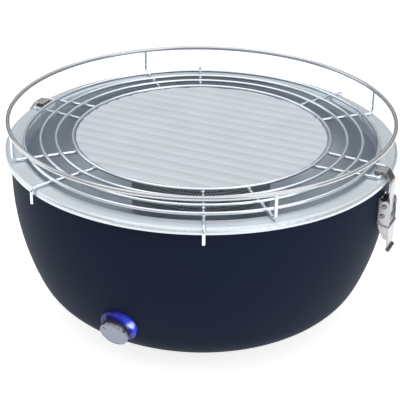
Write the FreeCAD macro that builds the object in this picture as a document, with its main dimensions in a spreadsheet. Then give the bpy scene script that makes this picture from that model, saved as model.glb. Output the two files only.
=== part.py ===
import FreeCAD, Part
import math
import os
import Sketcher

# Counts of repeated pieces
FOOT_COUNT = 4
BASE_SCREW_COUNT = 4
SHROUD_EAR_COUNT = 3
INLET_SLOT_COUNT = 16
BLADE_COUNT = 7
SHIELD_RIVET_COUNT = 3
CELL_COUNT = 4
TRAY_VENT_COUNT = 12
BASKET_ROW_COUNT = 7
BASKET_COLUMN_COUNT = 44
BASKET_FLOOR_RING_COUNTS = (6, 12, 18)
POST_COUNT = 4
FOOT_SPOKE_PAIR_COUNT = 2

# Driving dimensions in millimetres and degrees, grouped by piece
DIMENSIONS = {
    # Shared by many pieces
    "overrun": 2.0,
    "running_clearance": 0.05,
    "moving_gap": 0.4,
    # Rubber feet
    "foot_height": 5.0,
    "foot_top_radius": 9.0,
    "foot_bottom_radius": 7.5,
    "foot_inset": 21.5,
    "foot_start_angle": 45.0,
    # Base plate and its screws
    "base_thick": 3.0,
    "base_margin": 13.8,
    "base_screw_inset": 3.3,
    "inlet_inner_radius": 15.0,
    "inlet_outer_radius": 26.0,
    "inlet_slot_width": 2.0,
    "screw_radius": 1.5,
    "screw_head_radius": 3.0,
    "screw_head_height": 1.5,
    "screw_length": 7.0,
    # Outer bowl
    "bowl_wall": 1.2,
    "bowl_wide_radius": 170.2,
    "side_arc": 232.0,
    "side_sweep": 23.3,
    "rim_lean": 6.3,
    "base_setback": 0.94,
    "base_lap": 6.5,
    # Gasket, rim and inner bowl
    "gasket_thick": 1.5,
    "gasket_width": 5.0,
    "inner_sheet": 1.0,
    "rim_overhang": 6.2,
    "rim_drop": 5.0,
    "rim_roll": 3.0,
    "flange_width": 17.0,
    "flange_bend": 3.0,
    "lid_room": 8.0,
    "air_hole_radius": 42.0,
    "collar_height": 6.0,
    # Ignition tray
    "tray_lap": 5.0,
    "tray_lip": 3.0,
    "tray_dish_inset": 16.0,
    "tray_dish_slope": 4.0,
    "tray_dish_depth": 5.0,
    "tray_vent_radius": 3.5,
    "tray_vent_inset": 8.0,
    # Charcoal basket and its lid
    "basket_radius": 63.5,
    "basket_sheet": 1.0,
    "skirt_height": 17.0,
    "basket_height": 40.0,
    "basket_hole_radius": 1.0,
    "basket_row_pitch": 5.0,
    "basket_floor_hole_radius": 3.5,
    "basket_floor_edge": 12.5,
    "lid_gap": 0.5,
    "lid_rim": 6.0,
    "lid_handle_length": 40.0,
    "lid_handle_width": 12.0,
    "lid_handle_height": 6.0,
    # Drip plate
    "plate_gap": 2.7,
    "plate_sheet": 0.8,
    "ridge_pitch": 14.5,
    "ridge_height": 0.8,
    # Cooking grate
    "wire_radius": 1.5,
    "rail_wire_radius": 2.0,
    "rail_inset": 3.9,
    "rail_rise": 24.3,
    "outer_ring_inset": 17.3,
    "second_ring_inset": 31.6,
    "third_ring_inset": 45.1,
    "inner_ring_inset": 60.0,
    "spoke_overlap": 9.0,
    "wire_bend": 5.0,
    "post_start_angle": 45.0,
    "foot_spoke_spread": 26.0,
    "foot_spoke_gap": 0.5,
    "foot_spoke_drop": 7.3,
    "loop_inner_half": 16.0,
    "loop_outer_half": 12.0,
    "loop_bar_inset": 5.0,
    "loop_corner": 4.0,
    # Latches
    "latch_sheet": 1.2,
    "latch_pin_out": 1.0,
    "latch_pin_rise": 2.5,
    "latch_pin_radius": 1.5,
    "hook_pin_drop": 9.0,
    "hook_pin_inset": 1.2,
    "hook_pin_radius": 1.25,
    "pin_head_radius": 2.3,
    "pin_head_height": 0.8,
    "latch_base_half_width": 8.2,
    "latch_base_above": 9.0,
    "latch_base_below": 15.0,
    "ear_radius": 4.0,
    "lever_radius": 5.2,
    "lever_inset": 4.2,
    "lever_straight": 20.0,
    "lever_length": 41.5,
    "lever_plate": 1.4,
    "lever_plate_drop": 18.5,
    "lever_tip_half_width": 6.5,
    "lever_taper": 16.0,
    "lever_tip_height": 4.0,
    "lever_tip_roll": 2.0,
    "hook_half_width": 6.0,
    "hook_sheet": 1.4,
    "hook_eye": 3.0,
    "hook_throat": 3.8,
    "hook_lip_gap": 1.0,
    "hook_bar_gap": 0.6,
    "hook_knee_rise": 0.6,
    "hook_shoulder": 2.4,
    "rivet_radius": 1.6,
    "rivet_head_radius": 2.8,
    "rivet_head_height": 1.0,
    "rivet_set": 0.5,
    "rivet_up": 6.0,
    "rivet_down": 11.8,
    # Speed knob, its control and the light ring
    "knob_tilt": 20.4,
    "knob_radius": 12.5,
    "knob_length": 8.0,
    "knob_chamfer": 0.8,
    "knob_bore_depth": 5.5,
    "knob_gap": 0.6,
    "knob_shaft_radius": 3.0,
    "ring_radius": 16.3,
    "ring_height": 3.5,
    "ring_inset": 2.5,
    "ring_recess_radius": 13.8,
    "ring_recess_depth": 2.3,
    "ring_hole_radius": 8.0,
    "board_inner_radius": 8.6,
    "board_thick": 1.6,
    "nut_radius": 7.0,
    "nut_height": 2.2,
    "bush_radius": 4.5,
    "bush_length": 2.8,
    "bush_hole_gap": 0.2,
    "control_radius": 8.5,
    "control_length": 9.0,
    "control_seat_gap": 0.3,
    "control_back": 1.5,
    # Fan, motor, duct and heat shield
    "shroud_radius": 31.0,
    "shroud_wall": 1.6,
    "shroud_height": 40.0,
    "shroud_ear_set": 5.5,
    "shroud_ear_radius": 5.0,
    "shroud_ear_height": 4.0,
    "shroud_notch_x": 12.5,
    "shroud_notch_width": 8.0,
    "shroud_notch_height": 6.0,
    "strut_width": 3.0,
    "strut_height": 4.0,
    "cup_lift": 2.0,
    "cup_wall": 1.6,
    "cup_height": 12.0,
    "motor_radius": 12.0,
    "motor_length": 22.0,
    "motor_boss_radius": 3.5,
    "motor_boss_height": 1.5,
    "shaft_radius": 1.5,
    "shaft_depth": 10.0,
    "hub_radius": 13.0,
    "hub_height": 10.0,
    "hub_gap": 3.0,
    "blade_tip_gap": 1.0,
    "blade_width": 12.0,
    "blade_thick": 1.4,
    "blade_pitch_angle": 38.0,
    "duct_wall": 1.2,
    "duct_top_inset": 4.0,
    "duct_top_gap": 1.5,
    "duct_flange_width": 13.0,
    "shield_inset": 7.0,
    "shield_sheet": 0.8,
    "shield_hole_gap": 3.0,
    "shield_rim": 6.0,
    "shield_rivet_set": 8.0,
    "shield_rivet_radius": 1.3,
    "shield_rivet_head_radius": 2.6,
    "shield_rivet_head_height": 1.0,
    # Battery box, cells and door
    "cell_radius": 7.25,
    "cell_length": 50.5,
    "cell_nub_radius": 2.75,
    "cell_nub_length": 1.0,
    "cell_pitch": 15.1,
    "cell_clearance": 0.3,
    "contact_thick": 2.0,
    "contact_width": 9.0,
    "box_wall": 1.6,
    "box_gap": 1.0,
    "hinge_pin_radius": 0.8,
    "hinge_pin_embed": 4.0,
    # Leads inside the bowl
    "lead_radius": 1.2,
    "lead_spread": 3.0,
    "lead_straight": 15.8,
    "lead_climb_in": 35.6,
    "lead_climb_down": 13.7,
}

# Places worked out from the driving dimensions
PLACES = {
    # Outer bowl: centres of its two arcs and the points where they meet
    "bowl_base_z": "dims.foot_height + dims.base_thick",
    "side_centre_r": "dims.bowl_wide_radius - dims.side_arc",
    "corner_centre_r": "places.base_radius + dims.base_setback",
    "arc_offset": "(places.corner_centre_r - places.side_centre_r) / cos(dims.side_sweep)",
    "corner_arc": "dims.side_arc - places.arc_offset",
    "corner_centre_z": "places.bowl_base_z + places.corner_arc",
    "wide_z": "places.corner_centre_z + places.arc_offset * sin(dims.side_sweep)",
    "bowl_edge_z": "places.wide_z + dims.side_arc * sin(dims.rim_lean)",
    "bowl_edge_r": "places.side_centre_r + dims.side_arc * cos(dims.rim_lean)",
    "bowl_edge_inner_r": "places.side_centre_r + sqrt((dims.side_arc - dims.bowl_wall)^2"
                         " - (places.bowl_edge_z - places.wide_z)^2)",
    # Base plate: as wide as the battery box needs
    "base_radius": "places.box_end_y + dims.box_wall + dims.base_margin",
    "base_screw_ring_radius": "places.base_radius - dims.base_screw_inset",
    "base_hole_radius": "places.base_radius - dims.base_lap",
    "foot_ring_radius": "places.base_radius - dims.foot_inset",
    # Rim and inner bowl
    "rim_radius": "places.bowl_edge_r + dims.rim_overhang",
    "inner_depth": "dims.skirt_height + dims.basket_sheet + dims.basket_height + dims.lid_room",
    "flange_z": "places.bowl_edge_z + dims.gasket_thick + dims.inner_sheet",
    "rim_low_z": "places.flange_z - dims.rim_drop",
    "inner_radius": "places.rim_radius - dims.flange_width",
    "inner_arc": "places.inner_depth - dims.flange_bend",
    "floor_z": "places.flange_z - places.inner_depth",
    "floor_radius": "places.inner_radius - places.inner_arc",
    "gasket_middle_r": "(places.bowl_edge_r + places.bowl_edge_inner_r) / 2",
    # Ignition tray and basket
    "tray_radius": "dims.air_hole_radius + dims.tray_lap",
    "tray_dish_radius": "dims.air_hole_radius - dims.tray_dish_inset",
    "tray_vent_ring_radius": "dims.air_hole_radius - dims.tray_vent_inset",
    "basket_floor_ring_pitch": "(dims.basket_radius - dims.basket_floor_edge)"
                               f" / {len(BASKET_FLOOR_RING_COUNTS)}",
    "tray_z": "places.floor_z + dims.collar_height",
    "basket_floor_z": "places.floor_z + dims.skirt_height",
    "basket_wall_z": "places.basket_floor_z + dims.basket_sheet",
    "lid_z": "places.basket_wall_z + dims.basket_height",
    "lid_inner_radius": "dims.basket_radius + dims.lid_gap",
    # Grate radii and levels
    "rail_radius": "places.rim_radius - dims.rail_inset",
    "outer_ring_radius": "places.rim_radius - dims.outer_ring_inset",
    "second_ring_radius": "places.rim_radius - dims.second_ring_inset",
    "third_ring_radius": "places.rim_radius - dims.third_ring_inset",
    "inner_ring_radius": "places.rim_radius - dims.inner_ring_inset",
    "plate_radius": "places.inner_ring_radius - dims.plate_gap",
    "spoke_inner_radius": "places.inner_ring_radius - dims.spoke_overlap",
    "spoke_z": "places.flange_z + dims.wire_radius",
    "ring_z": "places.spoke_z + 2 * dims.wire_radius",
    "rail_z": "places.flange_z + dims.rail_rise",
    "plate_z": "places.spoke_z + dims.wire_radius",
    "foot_spoke_r": "places.rim_radius + dims.foot_spoke_gap + dims.wire_radius",
    # Latch loops: the corner between a side wire and the bar
    "loop_bar_radius": "places.rim_radius - dims.loop_bar_inset",
    "loop_run": "places.loop_bar_radius - places.spoke_inner_radius",
    "loop_narrowing": "dims.loop_inner_half - dims.loop_outer_half",
    "loop_side": "sqrt(places.loop_run^2 + places.loop_narrowing^2)",
    "loop_corner_set": "dims.loop_corner / tan(acos(-places.loop_narrowing / places.loop_side) / 2)",
    "loop_bend_x": "places.loop_bar_radius - places.loop_corner_set * places.loop_run / places.loop_side",
    "loop_bend_y": "dims.loop_outer_half"
                   " + places.loop_corner_set * places.loop_narrowing / places.loop_side",
    "loop_bar_half": "dims.loop_outer_half - places.loop_corner_set",
    # Latch pins, lever and hook
    "latch_x": "places.rim_radius + dims.latch_pin_out",
    "latch_z": "places.wide_z + dims.latch_pin_rise",
    "hook_pin_x": "places.latch_x - dims.hook_pin_inset",
    "hook_pin_z": "places.latch_z - dims.hook_pin_drop",
    "ear_inner_half": "dims.latch_base_half_width - dims.latch_sheet",
    "cheek_inner_half": "dims.latch_base_half_width + dims.moving_gap",
    "cheek_outer_half": "places.cheek_inner_half + dims.latch_sheet",
    "lever_out_x": "places.latch_x + dims.lever_radius",
    "lever_in_x": "places.latch_x - dims.lever_inset",
    "lever_tip_z": "places.latch_z - dims.lever_length",
    "lever_plate_z": "places.latch_z - dims.lever_plate_drop",
    "hook_in_x": "places.latch_x + dims.latch_pin_radius + dims.moving_gap",
    "hook_out_x": "places.hook_in_x + dims.hook_sheet",
    "hook_under_z": "places.spoke_z + dims.wire_radius + dims.hook_bar_gap",
    "hook_top_z": "places.hook_under_z + dims.hook_sheet",
    "hook_lip_x": "places.loop_bar_radius - dims.wire_radius - dims.hook_throat",
    "hook_lip_z": "places.flange_z + dims.hook_lip_gap",
    "hook_knee_z": "places.rim_low_z + dims.hook_knee_rise",
    "hook_shoulder_x": "places.loop_bar_radius + dims.hook_shoulder",
    # Knob axis: the seat on the bowl, and the control behind the wall
    "seat_y": "-(places.side_centre_r + dims.side_arc * cos(dims.knob_tilt))",
    "seat_z": "places.wide_z - dims.side_arc * sin(dims.knob_tilt)",
    "control_front": "-(dims.bowl_wall + dims.control_seat_gap)",
    "control_rear": "places.control_front - dims.control_length",
    "knob_start": "dims.ring_height + dims.knob_gap",
    "knob_shaft_start": "places.control_rear + dims.control_back + dims.moving_gap",
    # Fan radii and levels
    "shroud_ear_ring_radius": "dims.shroud_radius + dims.shroud_ear_set",
    "blade_radius": "places.shroud_inner_radius - dims.blade_tip_gap",
    "duct_top_radius": "dims.air_hole_radius - dims.duct_top_inset",
    "duct_flange_radius": "dims.shroud_radius + dims.duct_flange_width",
    "shield_radius": "places.base_hole_radius - dims.shield_inset",
    "shield_hole_radius": "dims.shroud_radius + dims.shield_hole_gap",
    "shield_rivet_ring_radius": "dims.shroud_radius + dims.shield_rivet_set",
    "shroud_top_z": "places.bowl_base_z + dims.shroud_height",
    "cup_z": "places.bowl_base_z + dims.cup_lift",
    "motor_z": "places.cup_z + dims.cup_wall",
    "motor_top_z": "places.motor_z + dims.motor_length",
    "hub_z": "places.motor_top_z + dims.hub_gap",
    "shroud_inner_radius": "dims.shroud_radius - dims.shroud_wall",
    "duct_top_z": "places.floor_z - dims.inner_sheet - dims.duct_top_gap",
    "shield_z": "places.shroud_top_z + dims.duct_wall",
    # Battery box and door
    "box_width": f"{CELL_COUNT} * dims.cell_pitch",
    "box_length": "dims.cell_length + 2 * dims.contact_thick",
    "box_height": "2 * (dims.cell_radius + dims.cell_clearance)",
    "box_y": "dims.shroud_radius + dims.box_gap + dims.box_wall",
    "box_end_y": "places.box_y + places.box_length",
    "cell_z": "places.bowl_base_z + dims.cell_clearance + dims.cell_radius",
    "door_hinge_y": "places.box_end_y - dims.moving_gap - dims.base_thick / 2",
    "door_hinge_z": "dims.foot_height + dims.base_thick / 2",
}

# Routes of the two leads along the base, chosen by hand: x, y, z of each point
BATTERY_LEAD_ROUTE = (
    (-31.8, 62.0, 16.0), (-44.0, 60.0, 13.0), (-52.0, 34.0, 10.8), (-52.0, -10.0, 10.8),
    (-46.0, -56.0, 10.8), (-28.0, -94.0, 14.0),
)
MOTOR_LEAD_ROUTE = (
    (8.0, -11.0, 12.0), (14.0, -36.0, 10.8), (16.0, -62.0, 10.8), (14.0, -92.0, 15.0),
)
LEAD_BEND_SHARE = 0.45

doc = FreeCAD.newDocument("table_grill")
nodes = []


# The sheet of driving dimensions, and the places that follow from them
def fill_sheet():
    sheet = doc.addObject("Spreadsheet::Sheet", "dims")
    for row, (name, number) in enumerate(DIMENSIONS.items(), start=1):
        sheet.set(f"A{row}", name)
        sheet.set(f"B{row}", str(number))
        sheet.setAlias(f"B{row}", name)
    doc.recompute()
    return sheet


def fill_places():
    places = doc.addObject("App::VarSet", "places")
    for name in PLACES:
        places.addProperty("App::PropertyFloat", name, "places")
    for name, formula in PLACES.items():
        places.setExpression(name, formula)
    doc.recompute()
    return places


dims = fill_sheet()
places = fill_places()


def size(formula):
    return float(dims.evalExpression(formula))


# Helpers that make, place and join objects
def node(item, label):
    item.Label = label
    nodes.append(item)
    return item


def solid(kind, name, **sizes):
    item = doc.addObject(kind, name)
    for quantity, formula in sizes.items():
        item.setExpression(quantity, formula)
    return item


def put(item, x=None, y=None, z=None):
    for axis, formula in (("x", x), ("y", y), ("z", z)):
        if formula is not None:
            item.setExpression(f"Placement.Base.{axis}", formula)
    return item


def spin(item, axis, angle):
    item.Placement = FreeCAD.Placement(item.Placement.Base, FreeCAD.Rotation(FreeCAD.Vector(*axis), 1))
    item.setExpression("Placement.Rotation.Angle", angle)
    return item


def cut(name, base, *tools):
    item = doc.addObject("Part::Cut", name)
    item.Base = base
    item.Tool = tools[0] if len(tools) == 1 else fuse(f"{name}_tools", tools)
    return item


def fuse(name, shapes):
    item = doc.addObject("Part::MultiFuse", name)
    item.Shapes = list(shapes)
    return item


def common(name, shapes):
    item = doc.addObject("Part::MultiCommon", name)
    item.Shapes = list(shapes)
    return item


def group(name, shapes):
    item = doc.addObject("Part::Compound", name)
    item.Links = list(shapes)
    return item


def cylinder(name, radius, height):
    return solid("Part::Cylinder", name, Radius=radius, Height=height)


def box(name, length, width, height):
    return solid("Part::Box", name, Length=length, Width=width, Height=height)


def middle_box(name, length, width, height):
    item = box(name, length, width, height)
    return put(item, f"-({length}) / 2", f"-({width}) / 2")


def tube(name, outer, inner, height, z):
    wall = put(cylinder(f"{name}_outer", outer, height), z=z)
    bore = put(cylinder(f"{name}_bore", inner, f"{height} + 2 * dims.overrun"), z=f"{z} - dims.overrun")
    return cut(name, wall, bore)


def polar(item, radius, angle, z):
    return put(item, f"({radius}) * cos({angle})", f"({radius}) * sin({angle})", z)


# A cylinder along X or Y, centred on that axis
def cross_rod(name, axis, radius, length, first, second, middle="0"):
    rod = cylinder(name, radius, length)
    if axis == "x":
        spin(rod, (0, 1, 0), "90")
        return put(rod, f"{middle} - ({length}) / 2", first, second)
    spin(rod, (1, 0, 0), "-90")
    return put(rod, first, f"{middle} - ({length}) / 2", second)


# Bodies, sketches and their features
def origin_feature(body, role):
    return next(item for item in body.Origin.OriginFeatures if item.Role == role)


def sketch_on(body, name, role, offset=None):
    sketch = body.newObject("Sketcher::SketchObject", name)
    sketch.AttachmentSupport = [(origin_feature(body, role), "")]
    sketch.MapMode = "FlatFace"
    if offset:
        sketch.setExpression("AttachmentOffset.Base.z", offset)
    return sketch


def arc_between(start, end, radius, turn):
    chord = end - start
    middle = (start + end) / 2
    left = FreeCAD.Vector(-chord.y, chord.x, 0).normalize()
    rise = max(radius * radius - chord.Length * chord.Length / 4, 0) ** 0.5
    sign = 1 if turn == "left" else -1
    centre = middle + left * (sign * rise)
    crown = centre - left * (sign * radius)
    return Part.ArcOfCircle(start, crown, end) if turn == "left" else Part.ArcOfCircle(end, crown, start)


# Lines and arcs through points given as pairs of formulas; arcs are edge: (radius, turn)
def draw(sketch, points, arcs=None, closed=True):
    arcs = arcs or {}
    spots = [FreeCAD.Vector(size(x), size(y), 0) for x, y in points]
    edge_count = len(points) if closed else len(points) - 1
    ends = []
    for edge in range(edge_count):
        start = spots[edge]
        end = spots[(edge + 1) % len(spots)]
        if edge in arcs:
            radius, turn = arcs[edge]
            sketch.addGeometry(arc_between(start, end, size(radius), turn), False)
            ends.append((1, 2) if turn == "left" else (2, 1))
        else:
            sketch.addGeometry(Part.LineSegment(start, end), False)
            ends.append((1, 2))
    rules = []
    formulas = {}
    for edge in range(edge_count if closed else edge_count - 1):
        after = (edge + 1) % edge_count
        rules.append(Sketcher.Constraint("Coincident", edge, ends[edge][1], after, ends[after][0]))
    for index, pair in enumerate(points):
        edge = min(index, edge_count - 1)
        spot = ends[edge][0] if index < edge_count else ends[edge][1]
        for kind, axis, formula in (("DistanceX", -2, pair[0]), ("DistanceY", -1, pair[1])):
            if formula == "0":
                rules.append(Sketcher.Constraint("PointOnObject", edge, spot, axis))
            else:
                formulas[len(rules)] = formula
                rules.append(Sketcher.Constraint(kind, -1, 1, edge, spot, size(formula)))
    for edge, (radius, turn) in arcs.items():
        formulas[len(rules)] = radius
        rules.append(Sketcher.Constraint("Radius", edge, size(radius)))
    sketch.addConstraint(rules)
    for index, formula in formulas.items():
        sketch.setExpression(f"Constraints[{index}]", formula)
    return sketch


def revolved(name, points, arcs=None):
    body = doc.addObject("PartDesign::Body", name)
    sketch = draw(sketch_on(body, f"{name}_outline", "XZ_Plane"), points, arcs)
    turn = body.newObject("PartDesign::Revolution", f"{name}_turn")
    turn.Profile = sketch
    turn.ReferenceAxis = (sketch, ["V_Axis"])
    turn.Angle = 360
    return body


def padded(name, role, width, points, arcs=None):
    body = doc.addObject("PartDesign::Body", name)
    sketch = draw(sketch_on(body, f"{name}_outline", role), points, arcs)
    pad = body.newObject("PartDesign::Pad", f"{name}_pad")
    pad.Profile = sketch
    pad.SideType = "Symmetric"
    pad.setExpression("Length", width)
    return body


# A bent round wire: a circle at the start of a path, swept along it and repeated about Z
def bent_wire(name, role, points, arcs, offset, centre, count):
    body = doc.addObject("PartDesign::Body", name)
    path = draw(sketch_on(body, f"{name}_path", role, offset), points, arcs, closed=False)
    section = sketch_on(body, f"{name}_section", "YZ_Plane", points[0][0])
    middle = FreeCAD.Vector(size(centre[0]), size(centre[1]), 0)
    section.addGeometry(Part.Circle(middle, FreeCAD.Vector(0, 0, 1), size("dims.wire_radius")), False)
    rules = [Sketcher.Constraint("Radius", 0, size("dims.wire_radius"))]
    formulas = ["dims.wire_radius"]
    for kind, axis, formula in (("DistanceX", -2, centre[0]), ("DistanceY", -1, centre[1])):
        if formula == "0":
            rules.append(Sketcher.Constraint("PointOnObject", 0, 3, axis))
            formulas.append(None)
        else:
            rules.append(Sketcher.Constraint(kind, -1, 1, 0, 3, size(formula)))
            formulas.append(formula)
    section.addConstraint(rules)
    for index, formula in enumerate(formulas):
        if formula:
            section.setExpression(f"Constraints[{index}]", formula)
    doc.recompute()
    pipe = body.newObject("PartDesign::AdditivePipe", f"{name}_pipe")
    pipe.Profile = section
    pipe.Spine = (path, [f"Edge{index + 1}" for index in range(len(points) - 1)])
    if count > 1:
        pattern = body.newObject("PartDesign::PolarPattern", f"{name}_pattern")
        pattern.Originals = [pipe]
        pattern.Axis = (origin_feature(body, "Z_Axis"), [""])
        pattern.Angle = 360
        pattern.Occurrences = count
        body.Tip = pattern
    return body


# Places a piece on the knob axis, its own Z pointing out of the bowl
def on_knob_axis(item, distance):
    spin(item, (1, 0, 0), "90 + dims.knob_tilt")
    return put(item, y=f"places.seat_y - ({distance}) * cos(dims.knob_tilt)",
               z=f"places.seat_z - ({distance}) * sin(dims.knob_tilt)")


# Rubber feet under the base plate
def rubber_feet():
    feet = []
    for index in range(FOOT_COUNT):
        foot = solid("Part::Cone", f"foot_{index}", Radius1="dims.foot_bottom_radius",
                     Radius2="dims.foot_top_radius", Height="dims.foot_height")
        angle = f"dims.foot_start_angle + {index * 360 / FOOT_COUNT}"
        feet.append(polar(foot, "places.foot_ring_radius", angle, None))
    node(group("feet", feet), "rubber_feet")


# Countersunk screws from below: some hold the bowl, the others hold the fan shroud
def screw_spots():
    spots = [("places.base_screw_ring_radius", str(index * 360 / BASE_SCREW_COUNT))
             for index in range(BASE_SCREW_COUNT)]
    spots += [("places.shroud_ear_ring_radius", shroud_ear_angle(index)) for index in range(SHROUD_EAR_COUNT)]
    return spots


def shroud_ear_angle(index):
    return str(30 + index * 360 / SHROUD_EAR_COUNT)


def screw_shapes(name):
    screws = []
    for index, (radius, angle) in enumerate(screw_spots()):
        head = solid("Part::Cone", f"{name}_head_{index}", Radius1="dims.screw_head_radius",
                     Radius2="dims.screw_radius", Height="dims.screw_head_height")
        shank = cylinder(f"{name}_shank_{index}", "dims.screw_radius", "dims.screw_length")
        polar(head, radius, angle, "dims.foot_height")
        polar(shank, radius, angle, "dims.foot_height")
        screws.append(fuse(f"{name}_{index}", [head, shank]))
    return screws


def base_screws():
    node(group("screws", screw_shapes("screw")), "base_screws")


# Base plate with its air slots, battery opening, screw holes and hinge pin hole
def base_plate():
    disc = put(cylinder("base_disc", "places.base_radius", "dims.base_thick"), z="dims.foot_height")
    tools = screw_shapes("base_screw_hole")
    for index in range(INLET_SLOT_COUNT):
        slot = box(f"inlet_slot_{index}", "dims.inlet_outer_radius - dims.inlet_inner_radius",
                   "dims.inlet_slot_width", "dims.base_thick + 2 * dims.overrun")
        angle = str(index * 360 / INLET_SLOT_COUNT)
        spin(slot, (0, 0, 1), angle)
        half = "dims.inlet_slot_width / 2"
        put(slot, f"dims.inlet_inner_radius * cos({angle}) + {half} * sin({angle})",
            f"dims.inlet_inner_radius * sin({angle}) - {half} * cos({angle})",
            "dims.foot_height - dims.overrun")
        tools.append(slot)
    opening = box("battery_opening", "places.box_width", "places.box_length",
                  "dims.base_thick + 2 * dims.overrun")
    tools.append(put(opening, "-places.box_width / 2", "places.box_y", "dims.foot_height - dims.overrun"))
    tools.append(hinge_pin("hinge_pin_hole"))
    node(cut("base", disc, *tools), "base_plate")


# The filled form of the outer bowl, which fits what sits on its outside
def bowl_form():
    return revolved("bowl_form", [
        ("0", "places.bowl_base_z"),
        ("places.corner_centre_r", "places.bowl_base_z"),
        ("places.side_centre_r + dims.side_arc * cos(dims.side_sweep)",
         "places.wide_z - dims.side_arc * sin(dims.side_sweep)"),
        ("places.bowl_edge_r", "places.bowl_edge_z"),
        ("0", "places.bowl_edge_z"),
    ], {1: ("places.corner_arc", "left"), 2: ("dims.side_arc", "left")})


# Outer bowl: two arcs and a flat base ring, with holes for the control, the rivets and the screws
def outer_bowl():
    inner_side = "(dims.side_arc - dims.bowl_wall)"
    shell = revolved("bowl_shell", [
        ("places.base_hole_radius", "places.bowl_base_z"),
        ("places.corner_centre_r", "places.bowl_base_z"),
        ("places.side_centre_r + dims.side_arc * cos(dims.side_sweep)",
         "places.wide_z - dims.side_arc * sin(dims.side_sweep)"),
        ("places.bowl_edge_r", "places.bowl_edge_z"),
        ("places.bowl_edge_inner_r", "places.bowl_edge_z"),
        (f"places.side_centre_r + {inner_side} * cos(dims.side_sweep)",
         f"places.wide_z - {inner_side} * sin(dims.side_sweep)"),
        ("places.corner_centre_r", "places.bowl_base_z + dims.bowl_wall"),
        ("places.base_hole_radius", "places.bowl_base_z + dims.bowl_wall"),
    ], {1: ("places.corner_arc", "left"), 2: ("dims.side_arc", "left"),
        4: (inner_side, "right"), 5: ("places.corner_arc - dims.bowl_wall", "right")})
    bush_hole = cylinder("bush_hole", "dims.bush_radius + dims.bush_hole_gap",
                         "dims.bowl_wall + 2 * dims.overrun")
    tools = [on_knob_axis(bush_hole, "-(dims.bowl_wall + dims.overrun)")]
    tools += screw_shapes("bowl_screw_hole")[:BASE_SCREW_COUNT]
    for name, level in rivet_levels():
        tools.append(cross_rod(f"bowl_rivet_hole_{name}", "x", "dims.rivet_radius",
                               "2 * (dims.bowl_wide_radius + dims.overrun)", "0", level))
    node(cut("bowl", shell, *tools), "outer_bowl")


# Gasket between the bowl's edge and the flange
def rim_gasket():
    ring = tube("gasket", "places.gasket_middle_r + dims.gasket_width / 2",
                "places.gasket_middle_r - dims.gasket_width / 2", "dims.gasket_thick", "places.bowl_edge_z")
    node(ring, "rim_gasket")


# Inner bowl in one sheet: rolled rim, flange, curved wall, floor and air collar
def inner_bowl():
    sheet = "dims.inner_sheet"
    bowl = revolved("inner", [
        ("places.rim_radius", "places.rim_low_z"),
        ("places.rim_radius", "places.flange_z - dims.rim_roll"),
        ("places.rim_radius - dims.rim_roll", "places.flange_z"),
        ("places.inner_radius + dims.flange_bend", "places.flange_z"),
        ("places.inner_radius", "places.flange_z - dims.flange_bend"),
        ("places.floor_radius", "places.floor_z"),
        (f"dims.air_hole_radius + {sheet}", "places.floor_z"),
        (f"dims.air_hole_radius + {sheet}", "places.tray_z"),
        ("dims.air_hole_radius", "places.tray_z"),
        ("dims.air_hole_radius", f"places.floor_z - {sheet}"),
        ("places.floor_radius", f"places.floor_z - {sheet}"),
        (f"places.inner_radius + {sheet}", "places.flange_z - dims.flange_bend"),
        ("places.inner_radius + dims.flange_bend", f"places.flange_z - {sheet}"),
        ("places.rim_radius - dims.rim_roll", f"places.flange_z - {sheet}"),
        (f"places.rim_radius - {sheet}", "places.flange_z - dims.rim_roll"),
        (f"places.rim_radius - {sheet}", "places.rim_low_z"),
    ], {1: ("dims.rim_roll", "left"), 3: ("dims.flange_bend", "left"), 4: ("places.inner_arc", "right"),
        10: (f"places.inner_arc + {sheet}", "left"), 11: (f"dims.flange_bend - {sheet}", "right"),
        13: (f"dims.rim_roll - {sheet}", "right")})
    node(bowl, "inner_bowl")


# Ignition tray on the air collar: a shallow dish with a ring of air holes
def ignition_tray():
    sheet = "dims.inner_sheet"
    low = "places.tray_z - dims.tray_dish_depth"
    flat = "places.tray_dish_radius - dims.tray_dish_slope"
    dish = revolved("tray_dish", [
        ("0", low),
        (flat, low),
        ("places.tray_dish_radius", "places.tray_z"),
        (f"places.tray_radius - {sheet}", "places.tray_z"),
        (f"places.tray_radius - {sheet}", "places.tray_z - dims.tray_lip"),
        ("places.tray_radius", "places.tray_z - dims.tray_lip"),
        ("places.tray_radius", f"places.tray_z + {sheet}"),
        (f"places.tray_dish_radius - {sheet}", f"places.tray_z + {sheet}"),
        (f"{flat} - {sheet}", f"{low} + {sheet}"),
        ("0", f"{low} + {sheet}"),
    ])
    vents = []
    for index in range(TRAY_VENT_COUNT):
        vent = cylinder(f"tray_vent_{index}", "dims.tray_vent_radius", f"{sheet} + 2 * dims.overrun")
        vents.append(polar(vent, "places.tray_vent_ring_radius", str(index * 360 / TRAY_VENT_COUNT),
                           "places.tray_z - dims.overrun"))
    node(cut("tray", dish, *vents), "ignition_tray")


# Charcoal basket: a plain skirt, a holed floor and a perforated wall
def basket_skirt():
    skirt = tube("skirt", "dims.basket_radius", "dims.basket_radius - dims.basket_sheet",
                 "dims.skirt_height", "places.floor_z")
    node(skirt, "basket_skirt")


def basket_floor():
    disc = put(cylinder("basket_disc", "dims.basket_radius", "dims.basket_sheet"), z="places.basket_floor_z")
    holes = []
    for ring, count in enumerate(BASKET_FLOOR_RING_COUNTS, start=1):
        for index in range(count):
            hole = cylinder(f"basket_floor_hole_{ring}_{index}", "dims.basket_floor_hole_radius",
                            "dims.basket_sheet + 2 * dims.overrun")
            holes.append(polar(hole, f"{ring} * places.basket_floor_ring_pitch", str(index * 360 / count),
                               "places.basket_floor_z - dims.overrun"))
    node(cut("basket_holed_disc", disc, *holes), "basket_floor")


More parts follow.
